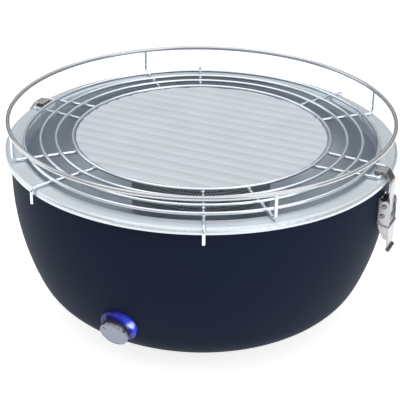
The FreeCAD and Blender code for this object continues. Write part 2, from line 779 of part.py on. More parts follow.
def basket_wall():
    wall = tube("basket_tube", "dims.basket_radius", "dims.basket_radius - dims.basket_sheet",
                "dims.basket_height", "places.basket_wall_z")
    radius = size("dims.basket_radius")
    reach = size("dims.basket_sheet + 2 * dims.overrun")
    middle = size("places.basket_wall_z + dims.basket_height / 2")
    pitch = size("dims.basket_row_pitch")
    holes = []
    for row in range(BASKET_ROW_COUNT):
        level = middle + (row - (BASKET_ROW_COUNT - 1) / 2) * pitch
        for column in range(BASKET_COLUMN_COUNT):
            angle = (column + row % 2 / 2) * 360 / BASKET_COLUMN_COUNT
            outward = FreeCAD.Rotation(FreeCAD.Vector(0, 0, 1), angle).multVec(FreeCAD.Vector(1, 0, 0))
            start = outward * (radius - reach / 2) + FreeCAD.Vector(0, 0, level)
            holes.append(Part.makeCylinder(size("dims.basket_hole_radius"), reach, start, outward))
    pattern = doc.addObject("Part::Feature", "basket_hole_pattern")
    pattern.Shape = Part.makeCompound(holes)
    node(cut("basket_perforated", wall, pattern), "basket_wall")


# Basket lid with a turned-down rim, and its flat strap handle
def basket_lid():
    sheet = "dims.basket_sheet"
    lid = revolved("lid", [
        ("0", "places.lid_z"),
        ("places.lid_inner_radius", "places.lid_z"),
        ("places.lid_inner_radius", "places.lid_z - dims.lid_rim"),
        (f"places.lid_inner_radius + {sheet}", "places.lid_z - dims.lid_rim"),
        (f"places.lid_inner_radius + {sheet}", f"places.lid_z + {sheet}"),
        ("0", f"places.lid_z + {sheet}"),
    ])
    node(lid, "basket_lid")


def lid_handle():
    sheet = "dims.basket_sheet"
    base = f"places.lid_z + {sheet}"
    strap = middle_box("handle_strap", "dims.lid_handle_length", "dims.lid_handle_width",
                       "dims.lid_handle_height - dims.basket_sheet")
    put(strap, z=base)
    gap = middle_box("handle_gap", f"dims.lid_handle_length - 2 * {sheet}",
                     "dims.lid_handle_width + 2 * dims.overrun",
                     f"dims.lid_handle_height - 2 * {sheet} + dims.overrun")
    put(gap, z=f"{base} - dims.overrun")
    node(cut("handle", strap, gap), "lid_handle")


# Drip plate: a round sheet of parallel arched ridges that run along X
def drip_plate():
    radius = size("places.plate_radius")
    pitch = size("dims.ridge_pitch")
    rise = size("dims.ridge_height")
    sheet = size("dims.plate_sheet")
    low = size("places.plate_z")
    half_count = int(radius / pitch) + 1
    valleys = [(index + 0.5) * pitch for index in range(-half_count - 1, half_count + 1)]

    def arches(level):
        spots = [FreeCAD.Vector(-radius, y, level) for y in valleys]
        lift = FreeCAD.Vector(0, pitch / 2, rise)
        return [Part.Arc(start, start + lift, end).toShape() for start, end in zip(spots, spots[1:])]

    under = arches(low)
    over = arches(low + sheet)
    sides = [Part.makeLine(FreeCAD.Vector(-radius, y, low), FreeCAD.Vector(-radius, y, low + sheet))
             for y in (valleys[0], valleys[-1])]
    outline = Part.Wire(Part.__sortEdges__(under + over + sides))
    ridges = Part.Face(outline).extrude(FreeCAD.Vector(2 * radius, 0, 0))
    wave = doc.addObject("Part::Feature", "plate_ridges")
    wave.Shape = ridges
    disc = cylinder("plate_disc", "places.plate_radius",
                    "dims.ridge_height + dims.plate_sheet + 2 * dims.overrun")
    put(disc, z="places.plate_z - dims.overrun")
    node(common("plate", [wave, disc]), "drip_plate")


# Rings and the top rail of the cooking grate
def grate_rings():
    for label, radius in (("grate_ring_outer", "places.outer_ring_radius"),
                          ("grate_ring_second", "places.second_ring_radius"),
                          ("grate_ring_third", "places.third_ring_radius"),
                          ("grate_ring_inner", "places.inner_ring_radius")):
        ring = solid("Part::Torus", label, Radius1=radius, Radius2="dims.wire_radius")
        node(put(ring, z="places.ring_z"), label)


def grate_rail():
    rail = solid("Part::Torus", "rail", Radius1="places.rail_radius", Radius2="dims.rail_wire_radius")
    return node(put(rail, z="places.rail_z"), "grate_rail")


# Spokes that turn up into the rail's posts, fitted to the underside of the rail
def grate_posts(rail):
    spokes = bent_wire("post_spokes", "XZ_Plane", [
        ("places.spoke_inner_radius", "places.spoke_z"),
        ("places.rail_radius - dims.wire_bend", "places.spoke_z"),
        ("places.rail_radius", "places.spoke_z + dims.wire_bend"),
        ("places.rail_radius", "places.rail_z"),
    ], {1: ("dims.wire_bend", "left")}, None, ("0", "places.spoke_z"), POST_COUNT)
    spin(spokes, (0, 0, 1), "dims.post_start_angle")
    node(cut("posts", spokes, rail), "grate_posts")


# Spokes that turn down over the rim and keep the grate in place
def grate_foot_spokes():
    pairs = []
    for name, angle in (("front", "90 - dims.foot_spoke_spread"), ("rear", "90 + dims.foot_spoke_spread")):
        spokes = bent_wire(f"foot_spokes_{name}", "XZ_Plane", [
            ("places.spoke_inner_radius", "places.spoke_z"),
            ("places.foot_spoke_r - dims.wire_bend", "places.spoke_z"),
            ("places.foot_spoke_r", "places.spoke_z - dims.wire_bend"),
            ("places.foot_spoke_r", "places.rim_low_z - dims.foot_spoke_drop"),
        ], {1: ("dims.wire_bend", "right")}, None, ("0", "places.spoke_z"), FOOT_SPOKE_PAIR_COUNT)
        pairs.append(spin(spokes, (0, 0, 1), angle))
    node(group("foot_spokes", pairs), "grate_foot_spokes")


# U loops that the latch hooks catch
def grate_loop(side, angle):
    loop = bent_wire(f"loop_{side}", "XY_Plane", [
        ("places.spoke_inner_radius", "dims.loop_inner_half"),
        ("places.loop_bend_x", "places.loop_bend_y"),
        ("places.loop_bar_radius", "places.loop_bar_half"),
        ("places.loop_bar_radius", "-places.loop_bar_half"),
        ("places.loop_bend_x", "-places.loop_bend_y"),
        ("places.spoke_inner_radius", "-dims.loop_inner_half"),
    ], {1: ("dims.loop_corner", "right"), 3: ("dims.loop_corner", "right")},
        "places.spoke_z", ("dims.loop_inner_half", "places.spoke_z"), 1)
    node(spin(loop, (0, 0, 1), angle), f"grate_loop_{side}")


# Latches: each piece is made on the right and turned to its side about Z
def to_side(item, angle):
    holder = group(f"{item.Name}_side", [item])
    return spin(holder, (0, 0, 1), angle)


def rivet_levels():
    return (("up", "places.wide_z + dims.rivet_up"), ("down", "places.wide_z - dims.rivet_down"))


def pivot_pin(name, radius, head_half, x, z):
    shank = cross_rod(f"{name}_shank", "y", radius, f"2 * ({head_half})", x, z)
    heads = []
    for sign in ("", "-"):
        middle = f"{sign}({head_half} + dims.pin_head_height / 2)"
        heads.append(cross_rod(f"{name}_head{len(heads)}", "y", "dims.pin_head_radius",
                               "dims.pin_head_height", x, z, middle))
    return fuse(name, [shank] + heads)


def latch_base(side, angle):
    plate = box(f"latch_plate_{side}", "dims.latch_sheet", "2 * dims.latch_base_half_width",
                "dims.latch_base_above + dims.latch_base_below")
    put(plate, "dims.bowl_wide_radius", "-dims.latch_base_half_width",
        "places.wide_z - dims.latch_base_below")
    ears = padded(f"latch_ears_{side}", "XZ_Plane", "2 * dims.latch_base_half_width", [
        ("dims.bowl_wide_radius", "places.latch_z - dims.ear_radius"),
        ("places.latch_x", "places.latch_z - dims.ear_radius"),
        ("places.latch_x + dims.ear_radius", "places.latch_z"),
        ("places.latch_x", "places.latch_z + dims.ear_radius"),
        ("dims.bowl_wide_radius", "places.latch_z + dims.ear_radius"),
    ], {1: ("dims.ear_radius", "left"), 2: ("dims.ear_radius", "left")})
    gap = box(f"latch_gap_{side}", "places.latch_x - dims.bowl_wide_radius + dims.ear_radius + dims.overrun",
              "2 * places.ear_inner_half", "2 * (dims.ear_radius + dims.overrun)")
    put(gap, "dims.bowl_wide_radius + dims.latch_sheet", "-places.ear_inner_half",
        "places.latch_z - dims.ear_radius - dims.overrun")
    channel = fuse(f"latch_channel_{side}", [plate, cut(f"latch_open_ears_{side}", ears, gap)])
    holes = [cross_rod(f"latch_pin_hole_{side}", "y", "dims.latch_pin_radius",
                       "2 * (dims.latch_base_half_width + dims.overrun)", "places.latch_x", "places.latch_z")]
    for name, level in rivet_levels():
        holes.append(cross_rod(f"latch_rivet_hole_{name}_{side}", "x", "dims.rivet_radius",
                               "2 * (dims.latch_sheet + dims.overrun)", "0", level, "dims.bowl_wide_radius"))
    node(to_side(cut(f"latch_seat_{side}", channel, *holes), angle), f"latch_base_{side}")


def latch_rivets(side, angle):
    rivets = []
    front = "(dims.bowl_wide_radius + dims.latch_sheet)"
    back = "(dims.bowl_wide_radius - dims.bowl_wall - dims.rivet_set)"
    for name, level in rivet_levels():
        shank = cross_rod(f"rivet_{name}_{side}", "x", "dims.rivet_radius", f"{front} - {back}", "0", level,
                          f"({front} + {back}) / 2")
        outer = cross_rod(f"rivet_front_{name}_{side}", "x", "dims.rivet_head_radius",
                          "dims.rivet_head_height", "0", level, f"{front} + dims.rivet_head_height / 2")
        inner = cross_rod(f"rivet_back_{name}_{side}", "x", "dims.rivet_head_radius",
                          "dims.rivet_head_height", "0", level, f"{back} - dims.rivet_head_height / 2")
        rivets.append(fuse(f"rivet_whole_{name}_{side}", [shank, outer, inner]))
    node(to_side(group(f"rivets_{side}", rivets), angle), f"latch_rivets_{side}")


def lever_pin(side, angle):
    pin = pivot_pin(f"lever_pin_{side}", "dims.latch_pin_radius",
                    "places.cheek_outer_half + dims.moving_gap", "places.latch_x", "places.latch_z")
    node(to_side(pin, angle), f"latch_lever_pin_{side}")


def hook_pin(side, angle):
    pin = pivot_pin(f"hook_pin_{side}", "dims.hook_pin_radius", "places.cheek_outer_half",
                    "places.hook_pin_x", "places.hook_pin_z")
    node(to_side(pin, angle), f"latch_hook_pin_{side}")


# Lever: a folded channel whose front plate starts below the hook pin, tapering to a rolled tip
def latch_lever(side, angle):
    cheeks = padded(f"lever_cheeks_{side}", "XZ_Plane", "2 * places.cheek_outer_half", [
        ("places.lever_out_x", "places.latch_z"),
        ("places.latch_x", "places.latch_z + dims.lever_radius"),
        ("places.lever_in_x", "places.latch_z"),
        ("places.lever_in_x", "places.latch_z - dims.lever_straight"),
        ("places.lever_out_x - dims.lever_plate", "places.lever_tip_z + dims.lever_tip_height"),
        ("places.lever_out_x - dims.lever_plate", "places.lever_tip_z"),
        ("places.lever_out_x", "places.lever_tip_z"),
    ], {0: ("dims.lever_radius", "left"), 1: ("dims.lever_radius", "left")})
    depth = "dims.lever_radius + dims.lever_inset"
    inside = box(f"lever_inside_{side}", f"{depth} - dims.lever_plate + dims.overrun",
                 "2 * places.cheek_inner_half", "dims.lever_length + dims.lever_radius + 2 * dims.overrun")
    put(inside, "places.lever_in_x - dims.overrun", "-places.cheek_inner_half",
        "places.lever_tip_z - dims.overrun")
    window = box(f"lever_window_{side}", f"{depth} + 2 * dims.overrun", "2 * places.cheek_inner_half",
                 "dims.lever_plate_drop + dims.lever_radius + dims.overrun")
    put(window, "places.lever_in_x - dims.overrun", "-places.cheek_inner_half", "places.lever_plate_z")
    channel = cut(f"lever_channel_{side}", cheeks, inside, window)
    front = padded(f"lever_front_{side}", "YZ_Plane", "2 * (places.lever_out_x + dims.overrun)", [
        ("places.cheek_outer_half", "places.latch_z + dims.lever_radius + dims.overrun"),
        ("-places.cheek_outer_half", "places.latch_z + dims.lever_radius + dims.overrun"),
        ("-places.cheek_outer_half", "places.lever_tip_z + dims.lever_taper"),
        ("-dims.lever_tip_half_width", "places.lever_tip_z"),
        ("dims.lever_tip_half_width", "places.lever_tip_z"),
        ("places.cheek_outer_half", "places.lever_tip_z + dims.lever_taper"),
    ])
    roll = cross_rod(f"lever_roll_{side}", "y", "dims.lever_tip_roll", "2 * dims.lever_tip_half_width",
                     "places.lever_out_x", "places.lever_tip_z")
    lever = fuse(f"lever_form_{side}", [common(f"lever_tapered_{side}", [channel, front]), roll])
    lever_hole = cross_rod(f"lever_hole_{side}", "y", "dims.latch_pin_radius + dims.running_clearance",
                           "2 * (places.cheek_outer_half + dims.overrun)", "places.latch_x",
                           "places.latch_z")
    hook_hole = cross_rod(f"lever_hook_hole_{side}", "y", "dims.hook_pin_radius",
                          "2 * (places.cheek_outer_half + dims.overrun)", "places.hook_pin_x",
                          "places.hook_pin_z")
    node(to_side(cut(f"lever_{side}", lever, lever_hole, hook_hole), angle), f"latch_lever_{side}")


# Hook strap: an eye on the hook pin, a strap past the lever pin, and a hook over the loop's bar
def latch_hook(side, angle):
    eye = "dims.hook_eye"
    strap = padded(f"hook_strap_{side}", "XZ_Plane", "2 * dims.hook_half_width", [
        ("places.hook_pin_x", f"places.hook_pin_z - {eye}"),
        ("places.hook_out_x", "places.hook_pin_z"),
        ("places.hook_out_x", "places.hook_knee_z + dims.hook_sheet / 2"),
        ("places.hook_shoulder_x + dims.hook_sheet / 2", "places.hook_top_z"),
        ("places.hook_lip_x - dims.hook_sheet", "places.hook_top_z"),
        ("places.hook_lip_x - dims.hook_sheet", "places.hook_lip_z"),
        ("places.hook_lip_x", "places.hook_lip_z"),
        ("places.hook_lip_x", "places.hook_under_z"),
        ("places.hook_shoulder_x", "places.hook_under_z"),
        ("places.hook_in_x", "places.hook_knee_z"),
        ("places.hook_in_x", f"places.hook_pin_z + {eye}"),
        ("places.hook_pin_x", f"places.hook_pin_z + {eye}"),
        (f"places.hook_pin_x - {eye}", "places.hook_pin_z"),
    ], {11: (eye, "left"), 12: (eye, "left")})
    hole = cross_rod(f"hook_hole_{side}", "y", "dims.hook_pin_radius + dims.running_clearance",
                     "2 * (dims.hook_half_width + dims.overrun)", "places.hook_pin_x", "places.hook_pin_z")
    node(to_side(cut(f"hook_{side}", strap, hole), angle), f"latch_hook_{side}")


# Light ring around the knob, fitted to the bowl, with its board, and the control behind the wall
def light_ring(form):
    whole = cylinder("ring_whole", "dims.ring_radius", "dims.ring_inset + dims.ring_height")
    recess = cylinder("ring_recess", "dims.ring_recess_radius", "dims.ring_inset + dims.ring_recess_depth")
    hole = cylinder("ring_hole", "dims.ring_hole_radius",
                    "dims.ring_inset + dims.ring_height + dims.overrun")
    for item in (whole, recess, hole):
        on_knob_axis(item, "-dims.ring_inset")
    node(cut("ring_cover", whole, recess, hole, form), "light_ring")


def light_board():
    height = "dims.board_thick"
    start = "dims.ring_recess_depth - dims.board_thick"
    disc = on_knob_axis(cylinder("board_disc", "dims.ring_recess_radius - dims.moving_gap", height), start)
    hole = cylinder("board_hole", "dims.board_inner_radius", f"{height} + 2 * dims.overrun")
    node(cut("board", disc, on_knob_axis(hole, f"{start} - dims.overrun")), "light_board")


def control_nut():
    hexagon = doc.addObject("Part::Prism", "nut_hexagon")
    hexagon.Polygon = 6
    hexagon.setExpression("Circumradius", "dims.nut_radius")
    hexagon.setExpression("Height", "dims.nut_height")
    bore = cylinder("nut_bore", "dims.bush_radius", "dims.nut_height + 2 * dims.overrun")
    node(cut("nut", on_knob_axis(hexagon, "0"), on_knob_axis(bore, "-dims.overrun")), "control_nut")


def speed_control():
    case = on_knob_axis(cylinder("control_case", "dims.control_radius", "dims.control_length"),
                        "places.control_rear")
    bush = on_knob_axis(cylinder("control_bush", "dims.bush_radius",
                                 "dims.bush_length - places.control_front"), "places.control_front")
    bore_start = "places.control_rear + dims.control_back"
    bore = cylinder("control_bore", "dims.knob_shaft_radius + dims.running_clearance",
                    f"dims.bush_length + dims.overrun - ({bore_start})")
    node(cut("control", fuse("control_form", [case, bush]), on_knob_axis(bore, bore_start)), "speed_control")


def knob_shaft():
    shaft = cylinder("shaft_rod", "dims.knob_shaft_radius",
                     "places.knob_start + dims.knob_bore_depth - places.knob_shaft_start")
    node(on_knob_axis(shaft, "places.knob_shaft_start"), "knob_shaft")


def speed_knob():
    knob = revolved("knob", [
        ("dims.knob_shaft_radius", "0"),
        ("dims.knob_radius", "0"),
        ("dims.knob_radius", "dims.knob_length - dims.knob_chamfer"),
        ("dims.knob_radius - dims.knob_chamfer", "dims.knob_length"),
        ("0", "dims.knob_length"),
        ("0", "dims.knob_bore_depth"),
        ("dims.knob_shaft_radius", "dims.knob_bore_depth"),
    ])
    node(on_knob_axis(knob, "places.knob_start"), "speed_knob")


# Fan shroud: a tube with screw ears, three struts and a cup for the motor
def fan_shroud():
    barrel = tube("shroud_tube", "dims.shroud_radius", "places.shroud_inner_radius",
                  "dims.shroud_height", "places.bowl_base_z")
    pieces = [barrel]
    for index in range(SHROUD_EAR_COUNT):
        angle = shroud_ear_angle(index)
        ear = cylinder(f"shroud_ear_{index}", "dims.shroud_ear_radius", "dims.shroud_ear_height")
        polar(ear, "places.shroud_ear_ring_radius", angle, "places.bowl_base_z")
        pieces.append(cut(f"shroud_open_ear_{index}", ear, shroud_void(f"ear_{index}")))
        strut = box(f"strut_{index}", "places.shroud_inner_radius + dims.shroud_wall / 2 - dims.motor_radius",
                    "dims.strut_width", "dims.strut_height")
        spin(strut, (0, 0, 1), angle)
        half = "dims.strut_width / 2"
        pieces.append(put(strut, f"dims.motor_radius * cos({angle}) + {half} * sin({angle})",
                          f"dims.motor_radius * sin({angle}) - {half} * cos({angle})", "places.cup_z"))
    cup = cylinder("cup_wall", "dims.motor_radius + dims.cup_wall", "dims.cup_height")
    pieces.append(put(cup, z="places.cup_z"))
    motor_space = put(cylinder("cup_space", "dims.motor_radius", "dims.cup_height"), z="places.motor_z")
    notch = box("shroud_notch", "dims.shroud_notch_width", "dims.shroud_radius",
                "dims.shroud_notch_height + dims.overrun")
    put(notch, "dims.shroud_notch_x - dims.shroud_notch_width / 2",
        "-dims.shroud_radius - places.shroud_inner_radius / 2", "places.bowl_base_z - dims.overrun")
    holes = screw_shapes("shroud_screw_hole")[BASE_SCREW_COUNT:]
    node(cut("shroud", fuse("shroud_form", pieces), motor_space, notch, *holes), "fan_shroud")


def shroud_void(name):
    void = cylinder(f"shroud_void_{name}", "places.shroud_inner_radius",
                    "dims.shroud_height + 2 * dims.overrun")
    return put(void, z="places.bowl_base_z - dims.overrun")


def fan_motor():
    case = put(cylinder("motor_case", "dims.motor_radius", "dims.motor_length"), z="places.motor_z")
    boss = put(cylinder("motor_boss", "dims.motor_boss_radius", "dims.motor_boss_height"),
               z="places.motor_top_z")
    bore = cylinder("motor_bore", "dims.shaft_radius + dims.running_clearance",
                    "dims.shaft_depth + dims.motor_boss_height + dims.overrun")
    put(bore, z="places.motor_top_z - dims.shaft_depth")
    node(cut("motor", fuse("motor_form", [case, boss]), bore), "fan_motor")


def motor_shaft():
    shaft = cylinder("fan_shaft", "dims.shaft_radius",
                     "dims.shaft_depth - dims.moving_gap + dims.hub_gap + dims.hub_height")
    node(put(shaft, z="places.motor_top_z - dims.shaft_depth + dims.moving_gap"), "motor_shaft")


# Impeller: a hub with pitched blades, trimmed round to clear the shroud
def fan_impeller():
    hub = put(cylinder("hub", "dims.hub_radius", "dims.hub_height"), z="places.hub_z")
    blades = []
    for index in range(BLADE_COUNT):
        blade = box(f"blade_{index}", "places.blade_radius", "dims.blade_thick", "dims.blade_width")
        put(blade, None, "-dims.blade_thick / 2", "-dims.blade_width / 2")
        pitched = spin(group(f"blade_pitched_{index}", [blade]), (1, 0, 0), "dims.blade_pitch_angle")
        turned = spin(group(f"blade_turned_{index}", [pitched]), (0, 0, 1), str(index * 360 / BLADE_COUNT))
        blades.append(put(turned, z="places.hub_z + dims.hub_height / 2"))
    round_trim = put(cylinder("blade_trim", "places.blade_radius", "dims.hub_height"), z="places.hub_z")
    wheel = common("fan_wheel", [fuse("fan_form", [hub] + blades), round_trim])
    bore = cylinder("hub_bore", "dims.shaft_radius", "dims.hub_height + 2 * dims.overrun")
    node(cut("impeller", wheel, put(bore, z="places.hub_z - dims.overrun")), "fan_impeller")


# Air duct from the fan to the floor of the inner bowl, and the heat shield on its flange
def air_duct():
    duct = revolved("duct", [
        ("places.shroud_inner_radius", "places.shroud_top_z"),
        ("places.duct_flange_radius", "places.shroud_top_z"),
        ("places.duct_flange_radius", "places.shield_z"),
        ("places.shroud_inner_radius + dims.duct_wall", "places.shield_z"),
        ("places.duct_top_radius", "places.duct_top_z"),
        ("places.duct_top_radius - dims.duct_wall", "places.duct_top_z"),
    ])
    node(cut("duct_drilled", duct, *shield_rods("duct_hole")), "air_duct")


def heat_shield():
    dish = revolved("shield", [
        ("places.shield_hole_radius", "places.shield_z"),
        ("places.shield_radius", "places.shield_z"),
        ("places.shield_radius", "places.shield_z + dims.shield_rim"),
        ("places.shield_radius - dims.shield_sheet", "places.shield_z + dims.shield_rim"),
        ("places.shield_radius - dims.shield_sheet", "places.shield_z + dims.shield_sheet"),
        ("places.shield_hole_radius", "places.shield_z + dims.shield_sheet"),
    ])
    node(cut("shield_drilled", dish, *shield_rods("shield_hole")), "heat_shield")


def shield_rods(name):
    rods = []
    for index in range(SHIELD_RIVET_COUNT):
        rod = cylinder(f"{name}_{index}", "dims.shield_rivet_radius", "dims.duct_wall + dims.shield_sheet")
        rods.append(polar(rod, "places.shield_rivet_ring_radius", str(index * 360 / SHIELD_RIVET_COUNT),
                          "places.shroud_top_z"))
    return rods


def shield_rivets():
    rivets = []
    for index, rod in enumerate(shield_rods("shield_rivet")):
        shapes = [rod]
        for end, z in (("top", "places.shield_z + dims.shield_sheet"),
                       ("low", "places.shroud_top_z - dims.shield_rivet_head_height")):
            head = cylinder(f"shield_rivet_{end}_{index}", "dims.shield_rivet_head_radius",
                            "dims.shield_rivet_head_height")
            shapes.append(polar(head, "places.shield_rivet_ring_radius",
                                str(index * 360 / SHIELD_RIVET_COUNT), z))
        rivets.append(fuse(f"shield_rivet_whole_{index}", shapes))
    node(group("shield_rivet_set", rivets), "shield_rivets")


# Battery box on the base plate, open below, with its cells and contacts
def battery_box():
    case = middle_box("box_case", "places.box_width + 2 * dims.box_wall",
                      "places.box_length + 2 * dims.box_wall", "places.box_height + dims.box_wall")
    put(case, y="places.box_y - dims.box_wall", z="places.bowl_base_z")
    space = middle_box("box_space", "places.box_width", "places.box_length",
                       "places.box_height + dims.overrun")
    put(space, y="places.box_y", z="places.bowl_base_z - dims.overrun")
    node(cut("box_shell", case, space), "battery_box")


def cell_x(index):
    return f"{index - (CELL_COUNT - 1) / 2} * dims.cell_pitch"


def batteries():
    cells = []
    body_length = "(dims.cell_length - dims.cell_nub_length)"
    start = "(places.box_y + dims.contact_thick)"
    for index in range(CELL_COUNT):
        nub_first = index % 2
        shift = "dims.cell_nub_length" if nub_first else "0"
        nub_y = start if nub_first else f"{start} + {body_length}"
        can = cross_rod(f"cell_{index}", "y", "dims.cell_radius", body_length, cell_x(index), "places.cell_z",
                        f"{start} + {shift} + {body_length} / 2")
        nub = cross_rod(f"cell_nub_{index}", "y", "dims.cell_nub_radius", "dims.cell_nub_length",
                        cell_x(index), "places.cell_z", f"{nub_y} + dims.cell_nub_length / 2")
        cells.append(fuse(f"cell_whole_{index}", [can, nub]))
    node(group("cells", cells), "batteries")


def battery_contacts():
    plates = []
    for index in range(CELL_COUNT):
        for y in ("places.box_y", "places.box_end_y - dims.contact_thick"):
            plate = box(f"contact_{len(plates)}", "dims.contact_width", "dims.contact_thick",
                        "dims.contact_width")
            plates.append(put(plate, f"{cell_x(index)} - dims.contact_width / 2", y,
                              "places.cell_z - dims.contact_width / 2"))
    node(group("contacts", plates), "battery_contacts")


# Battery door: a flap in the base plate that turns on a pin at its rear edge
def hinge_pin(name):
    return cross_rod(name, "x", "dims.hinge_pin_radius", "places.box_width + 2 * dims.hinge_pin_embed",
                     "places.door_hinge_y", "places.door_hinge_z")


def door_hinge_pin():
    node(hinge_pin("door_pin"), "door_hinge_pin")


def battery_door():
    width = "(places.box_width - 2 * dims.moving_gap)"
    flap = box("door_flap", width, "places.door_hinge_y - places.box_y - dims.moving_gap", "dims.base_thick")
    put(flap, f"-{width} / 2", "places.box_y + dims.moving_gap", "dims.foot_height")
    barrel = cross_rod("door_barrel", "x", "dims.base_thick / 2", width, "places.door_hinge_y",
                       "places.door_hinge_z")
    bore = cross_rod("door_bore", "x", "dims.hinge_pin_radius + dims.running_clearance",
                     f"{width} + 2 * dims.overrun", "places.door_hinge_y", "places.door_hinge_z")
    node(cut("door", fuse("door_form", [flap, barrel]), bore), "battery_door")


# Where a lead climbs the wall and meets the back of the speed control, on one side of the knob axis
def lead_end(side):
    spread = side * size("dims.lead_spread")
    climb = FreeCAD.Vector(2 * spread, size("places.seat_y + dims.lead_climb_in"),
                           size("places.seat_z - dims.lead_climb_down"))
    ends = [climb]
    for depth in ("places.control_rear - dims.lead_straight", "places.control_rear"):
        ends.append(FreeCAD.Vector(spread, size(f"places.seat_y - ({depth}) * cos(dims.knob_tilt)"),
                                   size(f"places.seat_z - ({depth}) * sin(dims.knob_tilt)")))
    return ends


# A lead: straight runs joined by tangent arcs, each as large as its runs allow
def lead(label, route, side):
    spots = [FreeCAD.Vector(*spot) for spot in route] + lead_end(side)
    edges = []
    start = spots[0]
    for before, corner, after in zip(spots, spots[1:], spots[2:]):
        back = before - corner
        ahead = after - corner
        reach = LEAD_BEND_SHARE * min(back.Length, ahead.Length)
        first = corner + back.normalize() * reach
        last = corner + ahead.normalize() * reach
        inward = (back + ahead).normalize()
        turn = math.pi - 2 * back.getAngle(inward)
        radius = reach * abs(FreeCAD.Vector(back).cross(inward).Length / back.dot(inward))
        crown = corner + inward * ((radius * radius + reach * reach) ** 0.5 - radius)
        edges.append(Part.LineSegment(start, first).toShape())
        edges.append(Part.Arc(first, crown, last).toShape())
        print(f"{label} bend radius {radius:.1f} turn {math.degrees(turn):.0f}")
        start = last
    edges.append(Part.LineSegment(start, spots[-1]).toShape())
    path = Part.Wire(edges)
    rim = Part.makeCircle(size("dims.lead_radius"), spots[0], spots[1] - spots[0])
    item = doc.addObject("Part::Feature", label)
    item.Shape = path.makePipeShell([Part.Wire(rim)], True, False)
    section = math.pi * size("dims.lead_radius") ** 2
    print(f"{label} volume {item.Shape.Volume:.0f}, section times length {section * path.Length:.0f}")
    node(item, label)


# Every piece, from the table up
rubber_feet()
base_plate()
base_screws()
outer_bowl()
rim_gasket()
inner_bowl()
ignition_tray()
basket_skirt()
basket_floor()
basket_wall()
basket_lid()
lid_handle()
drip_plate()
grate_rings()
grate_posts(grate_rail())
grate_foot_spokes()
for side, angle in (("right", "0"), ("left", "180")):
    grate_loop(side, angle)
    latch_base(side, angle)
    latch_rivets(side, angle)
    lever_pin(side, angle)
    latch_lever(side, angle)
    hook_pin(side, angle)
    latch_hook(side, angle)
light_ring(bowl_form())
light_board()
control_nut()
speed_control()
knob_shaft()
speed_knob()
fan_shroud()
fan_motor()
motor_shaft()
fan_impeller()
air_duct()
heat_shield()
shield_rivets()
battery_box()
batteries()
battery_contacts()
door_hinge_pin()
battery_door()
lead("battery_lead", BATTERY_LEAD_ROUTE, -1)
lead("motor_lead", MOTOR_LEAD_ROUTE, 1)
doc.recompute()

# Every object has to be sound before anything is written
for item in doc.Objects:
    if "Invalid" in item.State or "Error" in item.State:
        raise RuntimeError(f"{item.Name} ({item.Label}) failed: {item.State}")
for item in nodes:
    if item.Shape.isNull() or not item.Shape.isValid() or not item.Shape.Solids:
        raise RuntimeError(f"{item.Label} has no sound solid")

os.makedirs("parts", exist_ok=True)
for item in nodes:
    item.Shape.exportStep(f"parts/{item.Label}.step")
print(f"{len(nodes)} nodes written")
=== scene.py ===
import math
import bmesh
import bpy
from mathutils import Matrix, Vector

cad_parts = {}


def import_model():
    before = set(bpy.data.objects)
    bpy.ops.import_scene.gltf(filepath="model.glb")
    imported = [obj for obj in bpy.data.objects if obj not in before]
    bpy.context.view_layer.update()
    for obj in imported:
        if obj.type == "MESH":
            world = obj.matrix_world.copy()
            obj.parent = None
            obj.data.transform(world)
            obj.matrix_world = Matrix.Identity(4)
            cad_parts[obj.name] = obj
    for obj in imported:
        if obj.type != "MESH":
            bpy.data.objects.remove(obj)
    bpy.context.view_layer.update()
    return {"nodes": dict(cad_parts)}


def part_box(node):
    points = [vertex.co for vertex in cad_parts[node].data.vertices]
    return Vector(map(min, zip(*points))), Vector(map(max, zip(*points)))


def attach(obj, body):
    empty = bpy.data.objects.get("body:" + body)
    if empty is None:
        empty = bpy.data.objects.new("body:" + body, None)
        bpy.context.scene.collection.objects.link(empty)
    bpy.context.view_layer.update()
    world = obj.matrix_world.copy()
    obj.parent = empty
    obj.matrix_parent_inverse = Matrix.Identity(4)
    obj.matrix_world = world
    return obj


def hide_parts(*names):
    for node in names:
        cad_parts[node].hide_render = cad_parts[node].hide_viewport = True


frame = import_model()
nodes = frame["nodes"]
scene = bpy.context.scene

MM = 0.001

# Camera, worked out from the rim, the grate rings and the bowl's outline
IMAGE_SIDE = 400
FOCAL_PIXELS = 1161
SENSOR_WIDTH = 36.0
CAMERA_DISTANCE = 1.072
CAMERA_ELEVATION = math.radians(26.8)
CAMERA_AZIMUTH = math.radians(25.2)
CAMERA_ROLL = math.radians(0.75)
CAMERA_TARGET = Vector((-0.0006, -0.0005, 0.0954))

# Grate wires, as the solids have them
POST_ANGLES = (45, 135, 225, 315)
FOOT_SPOKE_ANGLES = (64, 116, 244, 296)
LOOP_ANGLES = (0, 180)
RING_NODES = ("grate_ring_inner", "grate_ring_third", "grate_ring_second", "grate_ring_outer")
LOOP_INNER = Vector((106.0, 16.0)) * MM
LOOP_OUTER = Vector((170.0, 12.0)) * MM
WIRE_RADIUS = 1.5 * MM

# Light: level of the sky on matte surfaces, and what metal mirrors at each height above the horizon
WHITE = (1.0, 1.0, 1.0, 1.0)
SKY_LIGHT = 0.5
CEILING_LEVELS = ((0.0, 0.12), (0.2, 0.26), (0.45, 0.72), (0.75, 0.90), (1.0, 0.66))
LAMP_AIM = Vector((0.0, 0.0, 0.1))

# Floor: its size, its own colour, and the glow that makes it white in the view
FLOOR_RADIUS = 4.0
FLOOR_STEPS = 64
FLOOR_COLOR = (0.75, 0.75, 0.75, 1.0)
FLOOR_GLOW = 0.78

